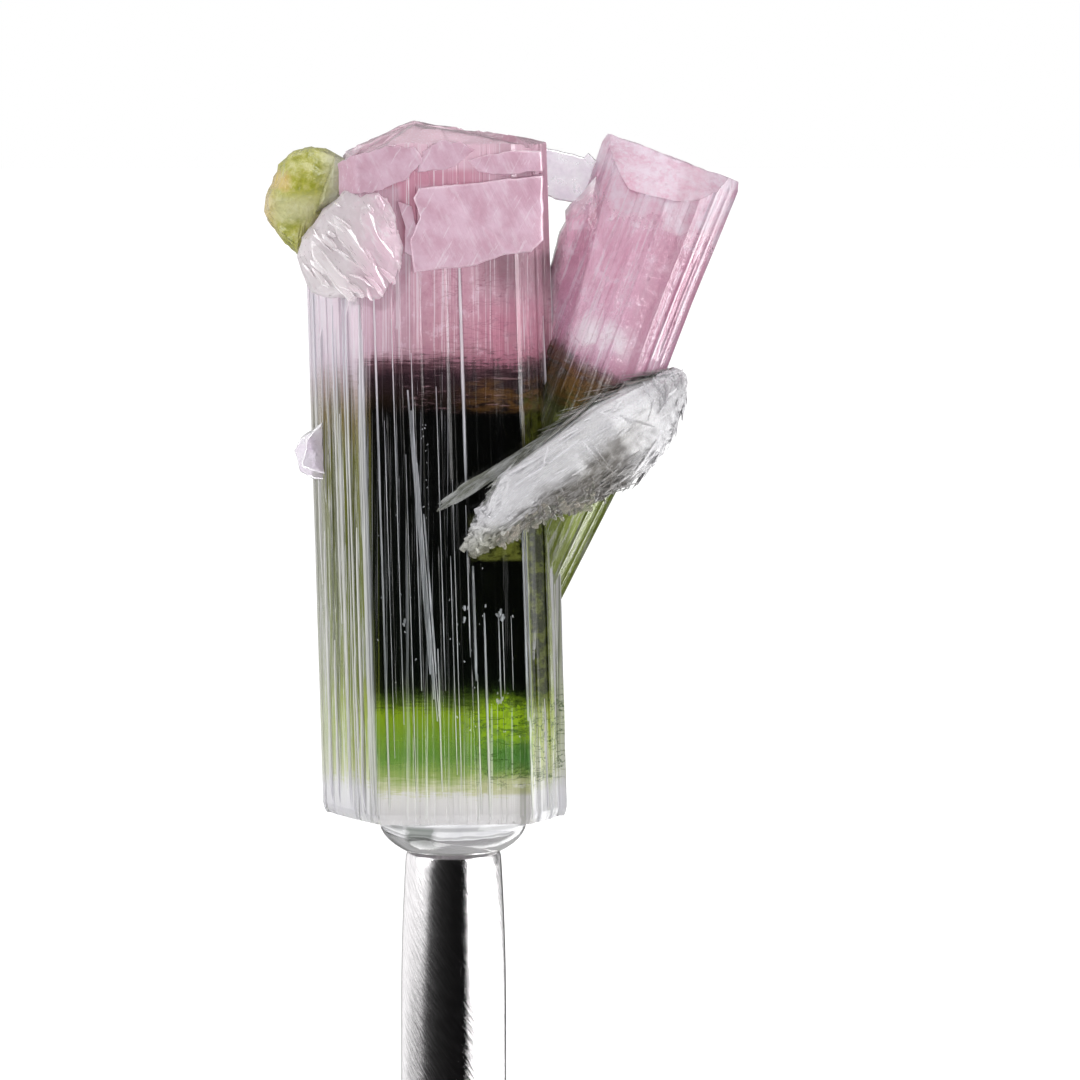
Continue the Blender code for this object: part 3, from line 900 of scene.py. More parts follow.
def sheaf_apron(mesh):
    """Brownish translucent fibres that hang below the sheaf over the prisms."""
    rng = random.Random(25)
    for _ in range(130):
        t = rng.uniform(0.14, 0.46)
        angle = rng.uniform(2.0, 2.9)
        root = sheaf_point(t, angle, 0.92)
        slope = rng.gauss(0.2, 0.35)
        tip = root + Vector((slope, 0.10, -1.0)) * rng.uniform(0.2, 0.7)
        tip.y = max(tip.y, root.y - 0.05)
        width = rng.uniform(0.15, 0.5)
        blade(mesh, root, tip, Vector((1.0, 0.1, 0.3)), width, 0.035, rng.uniform(-0.1, 0.05), rng)


def sheaf_needles(mesh):
    """Single bright needles that lie on the sheaf's front."""
    rng = random.Random(26)
    needles = (
        ((3.7, 42.6), (5.5, 43.8)),
        ((5.7, 44.9), (5.5, 43.9)),
        ((5.7, 43.9), (7.5, 45.3)),
        ((7.7, 45.2), (8.8, 43.8)),
        ((9.9, 46.6), (12.0, 45.9)),
        ((8.6, 46.9), (9.8, 46.5)),
        ((10.0, 43.3), (11.6, 44.6)),
        ((8.4, 44.9), (9.6, 43.1)),
    )
    front = [sheaf_point(i / 60, 1.57, 1.0) for i in range(61)]
    for (ax, az), (bx, bz) in needles:
        depth = min(front, key=lambda p: abs(p.x - (ax + bx) / 2)).y - 0.06
        a = Vector((ax, depth - 0.03, az))
        b = Vector((bx, depth, bz))
        width = rng.uniform(0.09, 0.15)
        blade(mesh, a, b, Vector((0.0, 0.2, 1.0)), width, 0.05, rng.uniform(-0.08, 0.08), rng)


def grains(mesh):
    """Angular grains along the sheaf's left edge."""
    rng = random.Random(19)
    for _ in range(170):
        t = rng.uniform(0.0, 0.27) ** 1.2
        angle = rng.uniform(1.9, 4.2) if rng.random() < 0.75 else rng.uniform(-0.5, 1.9)
        middle = sheaf_point(t, angle, rng.uniform(0.90, 1.0))
        size = rng.uniform(0.06, 0.20)
        along = Vector((rng.gauss(1, 0.5), rng.gauss(0, 0.5), rng.gauss(0.6, 0.5)))
        shard(mesh, middle, along, Vector((0.3, -1.0, 0.2)), (size * 1.5, size, size * 0.8), rng, 0.4)


# The holder


def turned(mesh, profile, sides, wobble=None):
    """A turned skin about Z, from (radius, height) pairs that run upwards."""
    rings = []
    for radius, height in profile:
        ring = []
        for i in range(sides):
            a = FULL_TURN * i / sides
            r = radius + (wobble(a, height) if wobble else 0.0)
            ring.append((r * math.cos(a), r * math.sin(a), height))
        rings.append(ring)
    mesh.tube(rings)


def rod(mesh):
    tip_radius = 2.85
    taper_start = 10.0
    profile = [(ROD_RADIUS - 0.25, 0.0), (ROD_RADIUS - 0.07, 0.07), (ROD_RADIUS, 0.25)]
    for i in range(41):
        z = 0.5 + (ROD_LENGTH - 0.85) * i / 40
        share = max(0.0, (z - taper_start) / (ROD_LENGTH - taper_start))
        profile.append((ROD_RADIUS - (ROD_RADIUS - tip_radius) * share**2, z))
    for i in range(1, 7):
        turn = math.radians(15 * i)
        profile.append((tip_radius - 0.32 * (1 - math.cos(turn)), ROD_LENGTH - 0.30 + 0.30 * math.sin(turn)))
    turned(mesh, profile, 160)


def adhesive(mesh):
    """The clear drop, which wets the rod's end below and the crystal's foot above."""
    low = ROD_LENGTH - 0.05
    high = FOOT_Z + 0.08
    profile = (
        (2.55, low),
        (2.85, low + 0.05),
        (3.20, low + 0.24),
        (3.62, low + 0.52),
        (3.95, low + 0.80),
        (4.20, low + 1.10),
        (4.36, low + 1.42),
        (4.42, low + 1.80),
        (4.36, low + 2.10),
        (4.46, high - 0.05),
        (4.20, high),
    )

    def wobble(a, height):
        share = (height - low) / (high - low)
        return 0.14 * share * noise.noise(Vector((math.cos(a) * 1.6, math.sin(a) * 1.6 + 4.0, height * 0.6)))

    turned(mesh, profile, 128, wobble)


# Materials


class Nodes:
    """A node tree and short ways to add nodes to it."""

    def __init__(self, tree):
        self.tree = tree

    def node(self, kind, settings=None, **inputs):
        made = self.tree.nodes.new(kind)
        for key, value in (settings or {}).items():
            setattr(made, key, value)
        for key, value in inputs.items():
            self.put(made.inputs[key.replace("_", " ")], value)
        return made

    def put(self, socket, value):
        if isinstance(value, bpy.types.NodeSocket):
            self.tree.links.new(value, socket)
        else:
            socket.default_value = value

    def math(self, operation, a, b=0.0):
        made = self.node("ShaderNodeMath", {"operation": operation})
        self.put(made.inputs[0], a)
        self.put(made.inputs[1], b)
        return made.outputs[0]

    def step(self, value, low, high, to_low=0.0, to_high=1.0, kind="SMOOTHSTEP"):
        """A step that rises smoothly from low to high, or evenly where kind is LINEAR."""
        made = self.node("ShaderNodeMapRange", {"interpolation_type": kind}, Value=value)
        for socket, number in zip(("From Min", "From Max", "To Min", "To Max"), (low, high, to_low, to_high)):
            made.inputs[socket].default_value = number
        return made.outputs[0]

    def ramp(self, value, stops, low, high):
        """A colour ramp. Each stop is a place between low and high with its colour or grey."""
        made = self.node("ShaderNodeValToRGB")
        self.put(made.inputs[0], self.step(value, low, high, kind="LINEAR"))
        points = made.color_ramp.elements
        while len(points) < len(stops):
            points.new(1.0)
        for point, (place, colour) in zip(points, stops):
            point.position = (place - low) / (high - low)
            point.color = (*colour, 1.0) if isinstance(colour, tuple) else (colour, colour, colour, 1.0)
        return made.outputs[0]

    def times(self, *factors):
        """The product of sockets and numbers. A factor (value, low, high) is a smooth step."""
        factors = [self.step(*factor) if isinstance(factor, tuple) else factor for factor in factors]
        total = factors[0]
        for factor in factors[1:]:
            total = self.math("MULTIPLY", total, factor)
        return total

    def plus(self, *terms):
        total = terms[0]
        for term in terms[1:]:
            total = self.math("ADD", total, term)
        return total


class Graph(Nodes):
    """A Principled material. Positions are in millimetres."""

    def __init__(self, name, **sockets):
        self.material = bpy.data.materials.new(name)
        self.material.use_nodes = True
        super().__init__(self.material.node_tree)
        self.shader = self.tree.nodes["Principled BSDF"]
        for socket, value in sockets.items():
            self.shader.inputs[socket.replace("_", " ")].default_value = value
        coordinates = self.node("ShaderNodeTexCoord")
        self.position = self.stretch(coordinates.outputs["Object"], (1 / MM, 1 / MM, 1 / MM))
        self.x, self.y, self.z = self.parts(self.position)

    def finished(self, colour, normal, roughness=None):
        """The material, with its colour, normal and perhaps roughness put on the shader."""
        self.put(self.shader.inputs["Base Color"], colour)
        self.put(self.shader.inputs["Normal"], normal)
        if roughness is not None:
            self.put(self.shader.inputs["Roughness"], roughness)
        return self.material

    def parts(self, vector):
        return self.node("ShaderNodeSeparateXYZ", Vector=vector).outputs

    def stretch(self, vector, scale, shift=(0.0, 0.0, 0.0), turn=(0.0, 0.0, 0.0)):
        made = self.node("ShaderNodeMapping", Vector=vector, Location=shift, Rotation=turn, Scale=scale)
        return made.outputs["Vector"]

    def noise(self, scale, detail=3.0, roughness=0.55, distortion=0.0, vector=None, shift=(0.0, 0.0, 0.0)):
        at = self.stretch(vector or self.position, scale, shift)
        made = self.node("ShaderNodeTexNoise", Vector=at, Scale=1.0, Detail=detail)
        made.inputs["Roughness"].default_value = roughness
        made.inputs["Distortion"].default_value = distortion
        return made.outputs[0]

    def mix(self, share, a, b, blend="MIX"):
        made = self.node("ShaderNodeMix", {"data_type": "RGBA", "blend_type": blend, "clamp_factor": True})
        self.put(made.inputs[0], share)
        self.put(made.inputs[6], a if isinstance(a, bpy.types.NodeSocket) else (*a, 1.0))
        self.put(made.inputs[7], b if isinstance(b, bpy.types.NodeSocket) else (*b, 1.0))
        return made.outputs[2]

    def layers(self, below, *layers):
        """Colours laid over one another, each where the product of its shares says."""
        for colour, *shares in layers:
            below = self.mix(self.times(*shares), below, colour)
        return below

    def specks(self, scale, size, vector=None):
        """Small dots scattered through the piece: 1 inside a dot."""
        at = self.stretch(vector or self.position, scale)
        made = self.node("ShaderNodeTexVoronoi", Vector=at, Scale=1.0)
        return self.step(made.outputs["Distance"], size, size * 0.6)

    def turned_position(self, angle):
        """The position turned about Y, so that lines can run along a slope."""
        return self.stretch(self.position, (1.0, 1.0, 1.0), turn=(0.0, angle, 0.0))

    def bump(self, height, strength, distance, normal=None):
        made = self.node("ShaderNodeBump", Height=height, Strength=strength, Distance=distance * MM)
        if normal is not None:
            self.put(made.inputs["Normal"], normal)
        return made.outputs["Normal"]


LILAC_WHITE = (0.92, 0.90, 0.97)
DEEP_PINK = (0.54, 0.19, 0.28)
CORE_ZONES = (
    (22.3, (0.80, 0.78, 0.80)),
    (24.0, (0.80, 0.78, 0.76)),
    (24.5, (0.60, 0.64, 0.34)),
    (25.2, (0.28, 0.40, 0.09)),
    (26.3, (0.12, 0.28, 0.04)),
    (27.5, (0.19, 0.34, 0.03)),
    (28.9, (0.23, 0.36, 0.01)),
    (29.6, (0.04, 0.07, 0.01)),
    (30.3, (0.002, 0.003, 0.002)),
    (46.6, (0.002, 0.002, 0.002)),
    (47.4, (0.014, 0.008, 0.005)),
    (48.8, (0.03, 0.016, 0.022)),
    (49.6, (0.12, 0.055, 0.07)),
    (50.4, (0.53, 0.26, 0.33)),
    (53.5, (0.62, 0.34, 0.43)),
    (57.0, (0.70, 0.42, 0.52)),
    (60.0, (0.78, 0.50, 0.61)),
    (63.0, (0.86, 0.60, 0.70)),
)
FLANK_ZONES = (
    (22.3, (0.90, 0.89, 0.95)),
    (24.2, (0.88, 0.88, 0.88)),
    (25.0, (0.66, 0.71, 0.40)),
    (27.5, (0.46, 0.54, 0.10)),
    (31.0, (0.28, 0.34, 0.05)),
    (38.0, (0.18, 0.21, 0.03)),
    (44.0, (0.23, 0.23, 0.035)),
    (46.5, (0.32, 0.24, 0.09)),
    (48.3, (0.66, 0.52, 0.52)),
    (49.6, (0.95, 0.80, 0.92)),
    (56.0, (0.97, 0.86, 0.96)),
    (63.0, (0.95, 0.80, 0.88)),
)
# Colours by height of the painted highlight lines and of the clear ridges
LINE_ZONES = (
    (22.3, (0.97, 0.97, 0.99)),
    (25.5, (0.86, 0.90, 0.74)),
    (29.5, (0.72, 0.80, 0.60)),
    (31.5, (0.60, 0.64, 0.66)),
    (46.0, (0.64, 0.64, 0.70)),
    (49.5, (0.96, 0.86, 0.94)),
    (63.0, (0.98, 0.92, 0.98)),
)


def tall_across(g):
    """The distance to the right of the tall prism's leaning axis."""
    drift = g.times(g.math("SUBTRACT", g.z, FOOT_Z), PRISM_LEAN)
    return g.math("SUBTRACT", g.math("SUBTRACT", g.x, drift), PRISM_BASE.x)


def tall_material():
    g = Graph("tourmaline_tall", IOR=1.63, Transmission_Weight=0.55, Specular_IOR_Level=0.14)
    height = g.z
    across = tall_across(g)
    smear = g.noise((5.5, 5.5, 0.10), detail=3.0)
    patches = g.noise((0.5, 0.5, 0.35), detail=2.0)
    bands = g.noise((1.7, 1.7, 0.012), detail=4.0, roughness=0.7)
    lines = g.noise((7.5, 7.5, 0.03), detail=4.0, roughness=0.7, shift=(3.0, 0.0, 0.0))
    wobble = g.noise((0.8, 0.8, 1.2), detail=3.0, roughness=0.6, shift=(0.0, 0.0, 4.0))
    cracks = g.noise((0.8, 0.8, 8.0), detail=4.0, roughness=0.7, distortion=0.4, shift=(0.0, 9.0, 0.0))
    zone = g.plus(height, g.times(smear, 1.2), g.times(patches, 1.2), g.times(cracks, 1.6), -2.0)
    core = g.ramp(zone, CORE_ZONES, FOOT_Z, CLUSTER_HIGH.z)
    flank = g.ramp(zone, FLANK_ZONES, FOOT_Z, CLUSTER_HIGH.z)

    # Bright glow and deep green at the right of the green zone
    right = g.step(g.plus(across, g.times(wobble, 2.4)), 3.0, 4.6)
    level = g.plus(height, g.times(wobble, 2.0), -1.0)
    cloud = g.noise((1.5, 1.5, 1.9), detail=4.0, roughness=0.65, shift=(0.0, 0.0, 11.0))
    glow = g.times(right, (level, 26.6, 27.8), (level, 30.2, 29.0), (cloud, 0.40, 0.56))
    core = g.layers(core, ((0.36, 0.58, 0.01), glow, 0.9))
    olive = g.times((height, 23.9, 24.3), (height, 25.4, 24.9), (across, 0.6, 2.2), (cloud, 0.40, 0.50))
    core = g.layers(core, ((0.52, 0.54, 0.26), olive, 0.8))
    deep = g.times(right, (level, 24.9, 25.8), (level, 27.6, 26.6))
    core = g.layers(core, ((0.05, 0.20, 0.03), deep, 0.7))
    rose = g.times((zone, 49.2, 50.0), (zone, 54.6, 51.5), (across, 1.6, 4.4))
    front = g.times((g.y, -2.0, -3.5), (height, 62.0, 61.2))
    ledge = g.times(front, (height, 59.8, 60.3), (height, 61.3, 60.8), (across, 4.6, 2.4))
    notch = g.times(front, (height, 56.2, 57.0), (across, -1.6, -1.2), (across, -0.2, -0.6))
    mottle = g.noise((1.3, 1.3, 0.9), detail=5.0, roughness=0.7, shift=(5.0, 0.0, 0.0))
    pink = g.times((zone, 49.6, 50.4), (zone, 57.5, 55.0))
    core = g.layers(
        core,
        ((0.50, 0.22, 0.31), pink, (mottle, 0.50, 0.38), 0.7),
        ((0.90, 0.66, 0.78), pink, (mottle, 0.54, 0.66), 0.5),
        ((0.86, 0.66, 0.78), pink, (across, 1.0, -3.5), 0.5),
    )
    pink_spots = g.math("MAXIMUM", g.times(rose, (patches, 0.28, 0.50)), g.math("MAXIMUM", ledge, notch))
    core = g.layers(core, (DEEP_PINK, pink_spots, 0.75))
    shadow = g.times((zone, 52.4, 55.2), (height, 56.6, 55.6), (across, 1.4, 4.6))
    core = g.layers(core, ((0.24, 0.13, 0.16), shadow, 0.75))
    moss = g.times((height, 37.9, 38.2), (height, 41.0, 39.8), (across, 1.8, 2.6))
    core = g.layers(core, ((0.20, 0.22, 0.04), moss, (cloud, 0.36, 0.56)))

    edge = g.plus(across, g.times(g.math("SUBTRACT", lines, 0.5), 3.0))
    back = g.plus(g.times(lines, 5.0), g.times(bands, 12.0), -8.5)
    back = g.times(back, (g.y, -1.0, 2.0))
    edge = g.plus(edge, back)
    right_side = g.math("MAXIMUM", g.step(g.plus(across, back), 5.45, 5.25), g.step(height, 46.6, 47.6))
    inside = g.times((edge, -4.5, -3.6), right_side)
    colour = g.mix(inside, flank, core)
    strip = g.times((across, 5.35, 5.55), (across, 6.65, 6.45), (height, 28.6, 30.2), (height, 48.5, 46.5))
    slices = g.noise((0.6, 0.6, 1.6), detail=4.0, roughness=0.7, shift=(2.0, 5.0, 0.0))
    layered = g.mix(g.step(slices, 0.44, 0.56), (0.014, 0.018, 0.0002), (0.10, 0.12, 0.003))
    colour = g.layers(colour, (layered, strip, 0.95))
    # Lilac-white at the outermost edges: partly a paler rim of the crystal, partly a painted edge highlight
    rim = g.math("MAXIMUM", g.step(across, -6.2, -7.2), g.times((across, 6.5, 7.0), (height, 48.4, 46.4)))
    colour = g.layers(colour, (LILAC_WHITE, rim, 0.45))

    # Pale lines painted as highlights on the growth lines, standing in for the studio's light on the ridges,
    # and darker lines between them; few of them in the black core's smooth right half
    dark = g.times((zone, 29.0, 30.4), (zone, 47.6, 46.4), inside)
    window = g.times(dark, (across, 1.2, 2.0))
    painted_highlight_level = lines
    for part, more in ((inside, -0.025), (dark, -0.005), (window, -0.2), (strip, -0.16)):
        painted_highlight_level = g.plus(painted_highlight_level, g.times(part, more))
    painted_highlight_level = g.plus(painted_highlight_level, g.times(dark, (across, -2.0, -3.0), 0.025))
    left = g.times((zone, 24.2, 26.0), (zone, 48.5, 46.0), (across, 1.0, -1.0))
    painted_highlight_level = g.plus(painted_highlight_level, g.times(left, g.math("SUBTRACT", 1.0, inside), 0.014))
    flank_tint = g.mix(g.times(left, (smear, 0.44, 0.60), 0.45), LILAC_WHITE, (0.76, 0.82, 0.48))
    tint = g.mix(inside, flank_tint, g.ramp(zone, LINE_ZONES, FOOT_Z, CLUSTER_HIGH.z))
    crossed = g.times((zone, 46.2, 47.2), (zone, 50.6, 49.8), inside)
    painted_highlight_level = g.plus(painted_highlight_level, g.times(crossed, -0.06))
    painted_highlight_level = g.plus(painted_highlight_level, g.times(pink, (across, 1.5, -1.0), 0.03))
    # pale: where the painted highlight lines lie, fainter inside the core and in the dark zone
    pale = g.times((painted_highlight_level, 0.535, 0.585), g.plus(0.82, g.times(inside, -0.22), g.times(dark, -0.22)))
    colour = g.mix(pale, colour, tint)
    gap_weight = g.plus(0.75, g.times(inside, (height, 24.0, 25.0), -0.45))
    gaps = g.times((g.plus(bands, g.times(inside, 0.06)), 0.47, 0.40), gap_weight)
    soft = g.times((zone, 50.5, 47.0, 0.08, 0.85), (height, 23.4, 26.0, 0.6, 1.0))
    colour = g.mix(g.times(gaps, soft), colour, (0.10, 0.12, 0.06), "MULTIPLY")

    # Layered fractures across the crystal
    band = g.times((height, 46.6, 47.2), (height, 51.2, 49.2), (across, -2.8, -1.6))
    colour = g.layers(
        colour,
        ((0.30, 0.17, 0.20), (cracks, 0.56, 0.68), band, 0.8),
        ((0.03, 0.015, 0.02), (cracks, 0.47, 0.36), band),
    )
    rust = g.times((across, 1.0, 3.4), (height, 46.6, 47.1), (height, 49.0, 48.2))
    rust_lines = g.step(g.noise((0.6, 0.6, 3.0), detail=4.0, roughness=0.7, distortion=0.6), 0.44, 0.60)
    colour = g.layers(colour, ((0.15, 0.068, 0.016), rust, rust_lines, 0.8))
    low_band = g.times((height, 24.3, 24.9), (height, 31.0, 29.0), (across, 0.6, 3.0))
    veins = g.noise((0.5, 0.5, 1.7), detail=4.0, roughness=0.6, distortion=0.8, shift=(0.0, 0.0, 21.0))
    vein = g.times((veins, 0.475, 0.495), (veins, 0.525, 0.505))
    colour = g.layers(
        colour,
        ((0.03, 0.09, 0.01), vein, low_band, 0.8),
        ((0.34, 0.13, 0.19), vein, pink, (across, -1.0, 2.0), 0.5),
    )
    specks = g.times(g.specks((1.3, 1.3, 2.3), 0.17), (mottle, 0.50, 0.56), pink, (across, 0.0, 2.5))
    colour = g.layers(colour, ((0.26, 0.08, 0.14), specks, 0.6))

    calm = g.plus(1.0, g.times(strip, -0.85), g.times(window, -0.6))
    relief = g.bump(g.times(g.noise((16.0, 16.0, 0.15), detail=3.0), calm), 0.35, 0.06)
    roughness = g.step(g.noise((1.4, 1.4, 0.5), detail=2.0), 0.3, 0.8, 0.04, 0.20)
    normal = g.bump(cracks, 0.08, 0.10, relief)
    return g.finished(colour, normal, roughness)


def ridge_material():
    """Clear ridges, tinted by the zone elsewhere and dark grey in the dark zone. Their pale tint is partly
    their own colour, partly a painted highlight that varies along them.
    """
    g = Graph("tourmaline_ridges", Roughness=0.10, IOR=1.63, Transmission_Weight=0.45, Specular_IOR_Level=0.3)
    height = g.z
    wander = g.times(g.noise((3.0, 3.0, 0.2), detail=2.0), 1.5)
    tint = g.ramp(g.plus(height, wander, -0.75), LINE_ZONES, FOOT_Z, CLUSTER_HIGH.z)
    across = tall_across(g)
    right_side = g.math("MAXIMUM", g.step(across, 5.75, 5.25), g.step(height, 46.6, 47.6))
    inside = g.times((across, -4.5, -3.6), right_side)
    dark = g.times((height, 28.8, 30.6), (height, 48.4, 46.6), inside)
    left = g.times((height, 24.2, 26.0), (height, 48.5, 46.0), (across, 1.0, -1.0))
    flank_tint = g.mix(g.times(left, 0.3), LILAC_WHITE, (0.84, 0.89, 0.62))
    tint = g.mix(inside, flank_tint, tint)
    # Painted highlight: the ridges' pale tint grows stronger and weaker along them; where it is weak they go
    # dark grey
    bright = g.step(g.noise((2.6, 2.6, 0.05), detail=3.0, roughness=0.7), 0.36, 0.60)
    fine = g.step(g.noise((12.0, 12.0, 0.08), detail=2.0), 0.40, 0.60)
    clear = g.times(g.plus(0.3, g.times(bright, 0.7)), g.plus(0.4, g.times(fine, 0.6)))
    dark_grey_share = g.times(g.math("SUBTRACT", 1.0, clear), g.plus(0.25, g.times(dark, 0.75)))
    colour = g.mix(dark_grey_share, tint, (0.10, 0.11, 0.11))
    normal = g.bump(g.noise((14.0, 14.0, 0.6), detail=3.0), 0.4, 0.05)
    return g.finished(colour, normal)


def leaning_material():
    g = Graph("tourmaline_leaning", IOR=1.63, Transmission_Weight=0.7, Specular_IOR_Level=0.35)
    position = g.turned_position(-LEANING_TILT)
    across, _, height = g.parts(position)
    patches = g.noise((0.45, 0.45, 0.35), detail=3.0)
    smear = g.noise((3.0, 3.0, 0.15), vector=position)
    middle = math.cos(LEANING_TILT) * LEANING_TOP.x - math.sin(LEANING_TILT) * LEANING_TOP.z
    sag = g.plus(g.step(across, middle - 0.5, middle - 3.0), g.step(across, middle + 2.2, middle + 4.2))
    layers = g.noise((0.8, 0.8, 6.0), detail=4.0, roughness=0.7, distortion=0.4, vector=position)
    zone = g.plus(height, g.times(smear, 0.7), g.times(patches, 1.4))
    zone = g.plus(zone, g.times(layers, 1.2), g.times(sag, -0.9), -2.4)
    top = math.cos(LEANING_TILT) * LEANING_TOP.z + math.sin(LEANING_TILT) * LEANING_TOP.x
    zones = (
        (top - 31.0, (0.42, 0.50, 0.12)),
        (top - 22.0, (0.30, 0.37, 0.07)),
        (top - 16.6, (0.07, 0.07, 0.02)),
        (top - 15.2, (0.05, 0.03, 0.02)),
        (top - 14.4, (0.12, 0.06, 0.08)),
        (top - 13.9, (0.56, 0.28, 0.40)),
        (top - 13.0, (0.80, 0.50, 0.66)),
        (top - 10.0, (0.80, 0.48, 0.62)),
        (top - 4.2, (0.78, 0.46, 0.59)),
        (top - 3.0, (0.80, 0.58, 0.70)),
        (top - 1.6, (0.84, 0.64, 0.76)),
        (top, (0.90, 0.62, 0.77)),
    )
    colour = g.ramp(zone, zones, top - LEANING_LENGTH, top)
    bands = g.noise((1.3, 1.3, 0.05), detail=3.0, roughness=0.6, vector=position)
    lines = g.noise((6.0, 6.0, 0.12), detail=4.0, roughness=0.7, vector=position)
    upper = g.step(zone, top - 15.0, top - 13.5)
    colour = g.mix(g.times(upper, (bands, 0.48, 0.38), 0.6), colour, (0.78, 0.42, 0.55), "MULTIPLY")
    colour = g.layers(colour, (LILAC_WHITE, (lines, 0.50, 0.62), 0.55))
    right = g.times((across, middle + 0.4, middle + 1.2), (across, middle + 2.8, middle + 2.0))
    colour = g.layers(colour, ((0.60, 0.31, 0.41), upper, right, 0.65))
    rust = g.times((zone, top - 17.4, top - 16.4), (zone, top - 14.0, top - 14.8))
    rust = g.times(rust, (layers, 0.42, 0.56), (across, middle + 1.5, middle - 0.5))
    colour = g.layers(colour, ((0.22, 0.10, 0.02), rust, 0.8))
    glint = g.times((height, top - 13.0, top - 11.8), (height, top - 9.8, top - 11.4))
    glint = g.times(glint, (across, middle - 2.5, middle - 0.9), (across, middle + 1.8, middle + 0.6))
    colour = g.layers(colour, ((1.0, 0.96, 1.0), glint, (patches, 0.30, 0.50), 0.85))
    cracks = g.noise((0.7, 0.7, 1.4), detail=5.0, roughness=0.6, distortion=1.2, shift=(4.0, 0.0, 0.0))
    crack = g.times((cracks, 0.485, 0.497), (cracks, 0.515, 0.503))
    colour = g.layers(colour, ((0.52, 0.24, 0.34), crack, (height, top - 13.4, top - 12.6), 0.45))
    specks = g.specks((1.6, 1.6, 1.1), 0.2, vector=position)
    colour = g.layers(colour, ((0.32, 0.10, 0.18), upper, specks, (patches, 0.45, 0.6), 0.6))
    clouds = g.noise((0.9, 0.9, 0.9), detail=4.0, roughness=0.6)
    frost = g.step(g.plus(height, g.times(clouds, 2.6), -1.3), top - 5.2, top - 3.2)
    colour = g.layers(
        colour,
        ((0.66, 0.34, 0.47), upper, (clouds, 0.48, 0.34), 0.5),
        ((0.95, 0.82, 0.93), upper, (clouds, 0.54, 0.66), 0.45),
        ((0.88, 0.84, 0.92), frost, (clouds, 0.3, 0.7), 0.6),
    )
    relief = g.bump(g.noise((11.0, 11.0, 0.4), detail=4.0, vector=position), 0.4, 0.07)
    roughness = g.plus(g.times(frost, 0.26), g.step(clouds, 0.3, 0.7, 0.04, 0.2))
    normal = g.bump(g.noise((1.2, 1.2, 0.8), detail=3.0), 0.35, 0.35, relief)
    return g.finished(colour, normal, roughness)


def frosted_material():
    g = Graph("frosted_pink", IOR=1.6, Transmission_Weight=0.35, Specular_IOR_Level=0.2)
    blotches = g.noise((0.6, 0.6, 0.6), detail=5.0, roughness=0.65)
    colour = g.mix(g.step(blotches, 0.36, 0.64), (0.65, 0.39, 0.50), (0.77, 0.54, 0.66))
    scratches = g.noise((3.0, 3.0, 0.5), detail=5.0, roughness=0.7, vector=g.turned_position(0.45))
    colour = g.layers(
        colour,
        ((0.90, 0.78, 0.86), (scratches, 0.50, 0.68), 0.35),
        ((0.54, 0.30, 0.40), (scratches, 0.46, 0.34), 0.22),
    )
    hairs = g.noise((7.0, 7.0, 0.4), detail=3.0, roughness=0.6, vector=g.turned_position(-0.5))
    colour = g.layers(colour, ((0.92, 0.82, 0.89), (hairs, 0.60, 0.68), 0.5))
    roughness = g.step(blotches, 0.3, 0.7, 0.34, 0.50)
    normal = g.bump(scratches, 0.4, 0.10)
    return g.finished(colour, normal, roughness)


def crust_material():
    g = Graph("clear_crust", IOR=1.6, Transmission_Weight=0.45, Specular_IOR_Level=0.15)
    blotches = g.noise((0.5, 0.5, 0.5), detail=5.0, roughness=0.65)
    pink = g.step(g.plus(g.x, g.times(blotches, 4.0), -2.0), -6.8, -3.8)
    colour = g.mix(pink, (0.86, 0.80, 0.82), (0.88, 0.66, 0.76))
    colour = g.layers(colour, ((0.74, 0.64, 0.68), (blotches, 0.50, 0.38), 0.5))
    lines = g.noise((0.5, 3.5, 3.5), detail=5.0, roughness=0.7, vector=g.turned_position(-0.95))
    colour = g.layers(
        colour,
        ((0.99, 0.95, 0.98), (lines, 0.52, 0.66), 0.6),
        ((0.66, 0.54, 0.60), (lines, 0.46, 0.34), 0.3),
    )
    roughness = g.step(lines, 0.3, 0.7, 0.26, 0.46)
    normal = g.bump(g.plus(lines, g.noise((1.4, 1.4, 1.4), detail=4.0)), 0.25, 0.10)
    return g.finished(colour, normal, roughness)


def green_material():
    g = Graph("green_crystal", Roughness=0.16, IOR=1.62, Transmission_Weight=0.5)
    blotches = g.noise((1.2, 1.2, 1.2), detail=5.0, roughness=0.7)
    stops = ((0.38, (0.34, 0.36, 0.03)), (0.5, (0.52, 0.52, 0.09)), (0.62, (0.72, 0.70, 0.30)))
    colour = g.ramp(blotches, stops, 0.3, 0.7)
    level = g.plus(g.z, g.times(blotches, 1.6), -0.8)
    waist = g.times((level, 57.4, 58.2), (level, 59.8, 59.0))
    colour = g.layers(colour, ((0.84, 0.82, 0.60), waist, 0.45))
    patch = g.times((level, 59.6, 60.0), (level, 61.0, 60.6), (g.x, -9.3, -9.8))
    rim = g.math("MAXIMUM", g.step(g.x, -10.0, -11.4), patch)
    colour = g.layers(colour, ((0.78, 0.48, 0.14), rim, 0.6))
    fade = g.step(g.x, -8.2, -6.6)
    colour = g.layers(colour, ((0.90, 0.88, 0.80), fade, 0.6))
    roughness = g.step(blotches, 0.3, 0.7, 0.06, 0.26)
    normal = g.bump(g.noise((1.6, 1.6, 1.6), detail=5.0, roughness=0.6), 0.6, 0.3)
    return g.finished(colour, normal, roughness)


